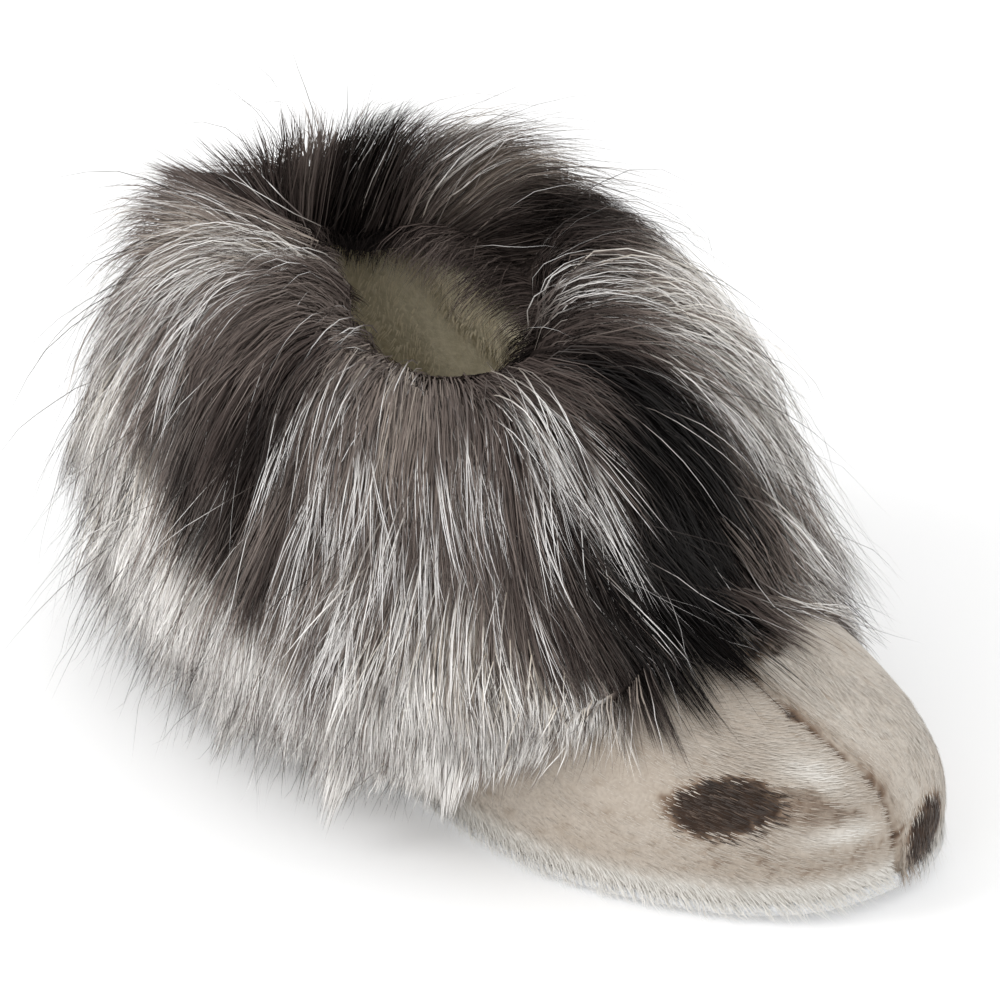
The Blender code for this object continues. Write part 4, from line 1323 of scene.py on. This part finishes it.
def make_rim_hair():
    """Short hair that leans over the rim of the opening and hangs a little way in."""
    chance, count = np.random.default_rng(76), RIM_HAIRS
    angles = chance.uniform(0, 2 * math.pi, count)
    root = body_point(angles, chance.uniform(0, 0.5, count))
    inward, sway = -outward(angles), drift(root, 12 * MM, 77)
    way = inward + onward(angles) * (0.7 * sway[:, :1] + chance.normal(0, 0.3, (count, 1)))
    length = RIM_LENGTH * chance.uniform(0.5, 1.3, count)
    front = np.clip(np.cos(angles + 0.3), 0, 1)
    length *= 1 + 1.5 * np.exp(-((angles - math.radians(70)) / 0.75) ** 2) - 0.15 * front
    spine = [root - inward * RIM_DEPTH]
    for drop in RIM_DROPS:
        spine.append(spine[-1] + unit(way + (0, 0, 1) * (drop - 0.9 * front)[:, None]) * length[:, None] / 4)
    _, under = zone_values(angles, np.full(count, 0.4))
    facing = unit(-inward + chance.normal(0, 0.5, inward.shape))
    widths = widths_of(RIM_WIDTH, count, chance, 0.6, 1.2)
    # Painted shade: the rim hair a little darker than the fur around it.
    tones = under + RIM_PAINTED_SHADE + chance.normal(0, 0.06, count)
    strands("rim_hair", "long_fur", np.stack(spine, axis=1), widths, facing, tones, UNDERFUR)


def make_strays():
    """Single long hairs that stand away from the cuff."""
    chance, count = np.random.default_rng(81), STRAY_HAIRS
    angles, rows = CUFF.scatter(count, chance, lambda a, r: np.ones_like(a))
    angles %= 2 * math.pi
    spines = crimp(keep_clear(lay(angles, rows, chance, 1.35, 7, 4.5), rows), chance, 0.8 * MM, 2.0)
    tones = np.where(chance.uniform(0, 1, count) < 0.72, 0.06, 0.66)
    widths = widths_of(STRAY_WIDTH, count, chance, 0.7, 1.2)
    add_fur("stray_hair", spines, widths, tones, GUARD_HAIR, chance, 0.9, 1)


# ---------------------------------------------------------------- stage
STAGE_LIGHTS = (("key", (-1.3, 0.9, 1.2), 0.9, 15.0), ("fill", (-1.1, -0.9, 1.0), 1.4, 1.5))
LIT_PLACE = Vector((0, -0.06, 0.05))
CAMERA_TURN, CAMERA_TILT = math.radians(-45), math.radians(30)
CAMERA_DISTANCE = 10.0
CAMERA_AIM = Vector((0.0273, -0.0387, 0.050))
VIEW_WIDTH = 0.285
SENSOR = 36.0
PAPER_SIZE, PAPER_HEIGHT, PAPER_GREY, PAPER_GLOW = 8, -0.0002, (0.80, 0.80, 0.80, 1), 0.175
ROOM_LIGHT = 1.09


def make_stage():
    """Pale floor, even white surroundings and two soft lights."""
    bpy.ops.mesh.primitive_plane_add(size=PAPER_SIZE, location=(0, 0, PAPER_HEIGHT))
    floor = bpy.context.object
    floor.name = "pale_floor"
    finish = Finish("floor_paper", roughness=0.9, specular=0.1)
    fill(finish.shader, {"Base Color": PAPER_GREY, "Emission Color": WHITE, "Emission Strength": PAPER_GLOW})
    floor.data.materials.append(finish.material)
    world = bpy.data.worlds.new("studio")
    bpy.context.scene.world = world
    world.use_nodes = True
    fill(world.node_tree.nodes["Background"], {"Color": WHITE, "Strength": ROOM_LIGHT})
    for name, place, size, power in STAGE_LIGHTS:
        light = bpy.data.lights.new(name, "AREA")
        light.size, light.energy = size, power
        holder = bpy.data.objects.new(name, light)
        holder.location = place
        holder.rotation_euler = (LIT_PLACE - Vector(place)).to_track_quat("-Z", "Y").to_euler()
        bpy.context.scene.collection.objects.link(holder)


def make_camera():
    """Long lens at the photograph's angle, square on to the slipper's outer front."""
    flat = math.cos(CAMERA_TILT)
    back = Vector((math.sin(CAMERA_TURN) * flat, -math.cos(CAMERA_TURN) * flat, math.sin(CAMERA_TILT)))
    camera = bpy.data.objects.new("camera", bpy.data.cameras.new("camera"))
    camera.data.sensor_width = SENSOR
    camera.data.lens = SENSOR * CAMERA_DISTANCE / VIEW_WIDTH
    camera.location = CAMERA_AIM + back * CAMERA_DISTANCE
    camera.rotation_euler = (-back).to_track_quat("-Z", "Y").to_euler()
    bpy.context.scene.collection.objects.link(camera)
    bpy.context.scene.camera = camera
    bpy.context.scene.view_settings.view_transform = "Standard"


GUARD_HAIR = guard_hair_finish()
UNDERFUR = toned_hair_finish("underfur", 0.85, 0.05, UNDERFUR_TONES, (0.72, 0.70, 0.69), 0.6)
SEAL_HAIR = toned_hair_finish("seal_hair", 0.38, 0.45, SEAL_TONES, (0.82, 0.80, 0.78), 0.4)
SEAL_SKIN = seal_skin_finish()
PILE_HAIR = pile_finish("pile_hair", srgb(228, 217, 190), srgb(210, 198, 168))
PILE_GROUND = wool_base_finish("pile_ground", srgb(198, 188, 160), srgb(220, 210, 184))
# The footbed's pile is a paler, less olive copy of the lining's cream pile: painted light against the shade
# deep inside the slipper.
INSOLE_HAIR = pile_finish("insole_hair", srgb(252, 250, 243), srgb(244, 240, 228))
INSOLE_GROUND = wool_base_finish("insole_ground", srgb(238, 233, 219), srgb(250, 248, 240))
SUEDE = suede_finish()
FUR_DEPTH_SHADE = core_finish()

UPPER_TREE = BVHTree.FromObject(make_upper(), bpy.context.evaluated_depsgraph_get())
for make in (make_seal_hair, make_lining, make_sole, make_insole, make_core, make_underfur, make_dark_hair,
             make_silver_hair, make_rim_hair, make_strays, make_stage, make_camera):
    make()
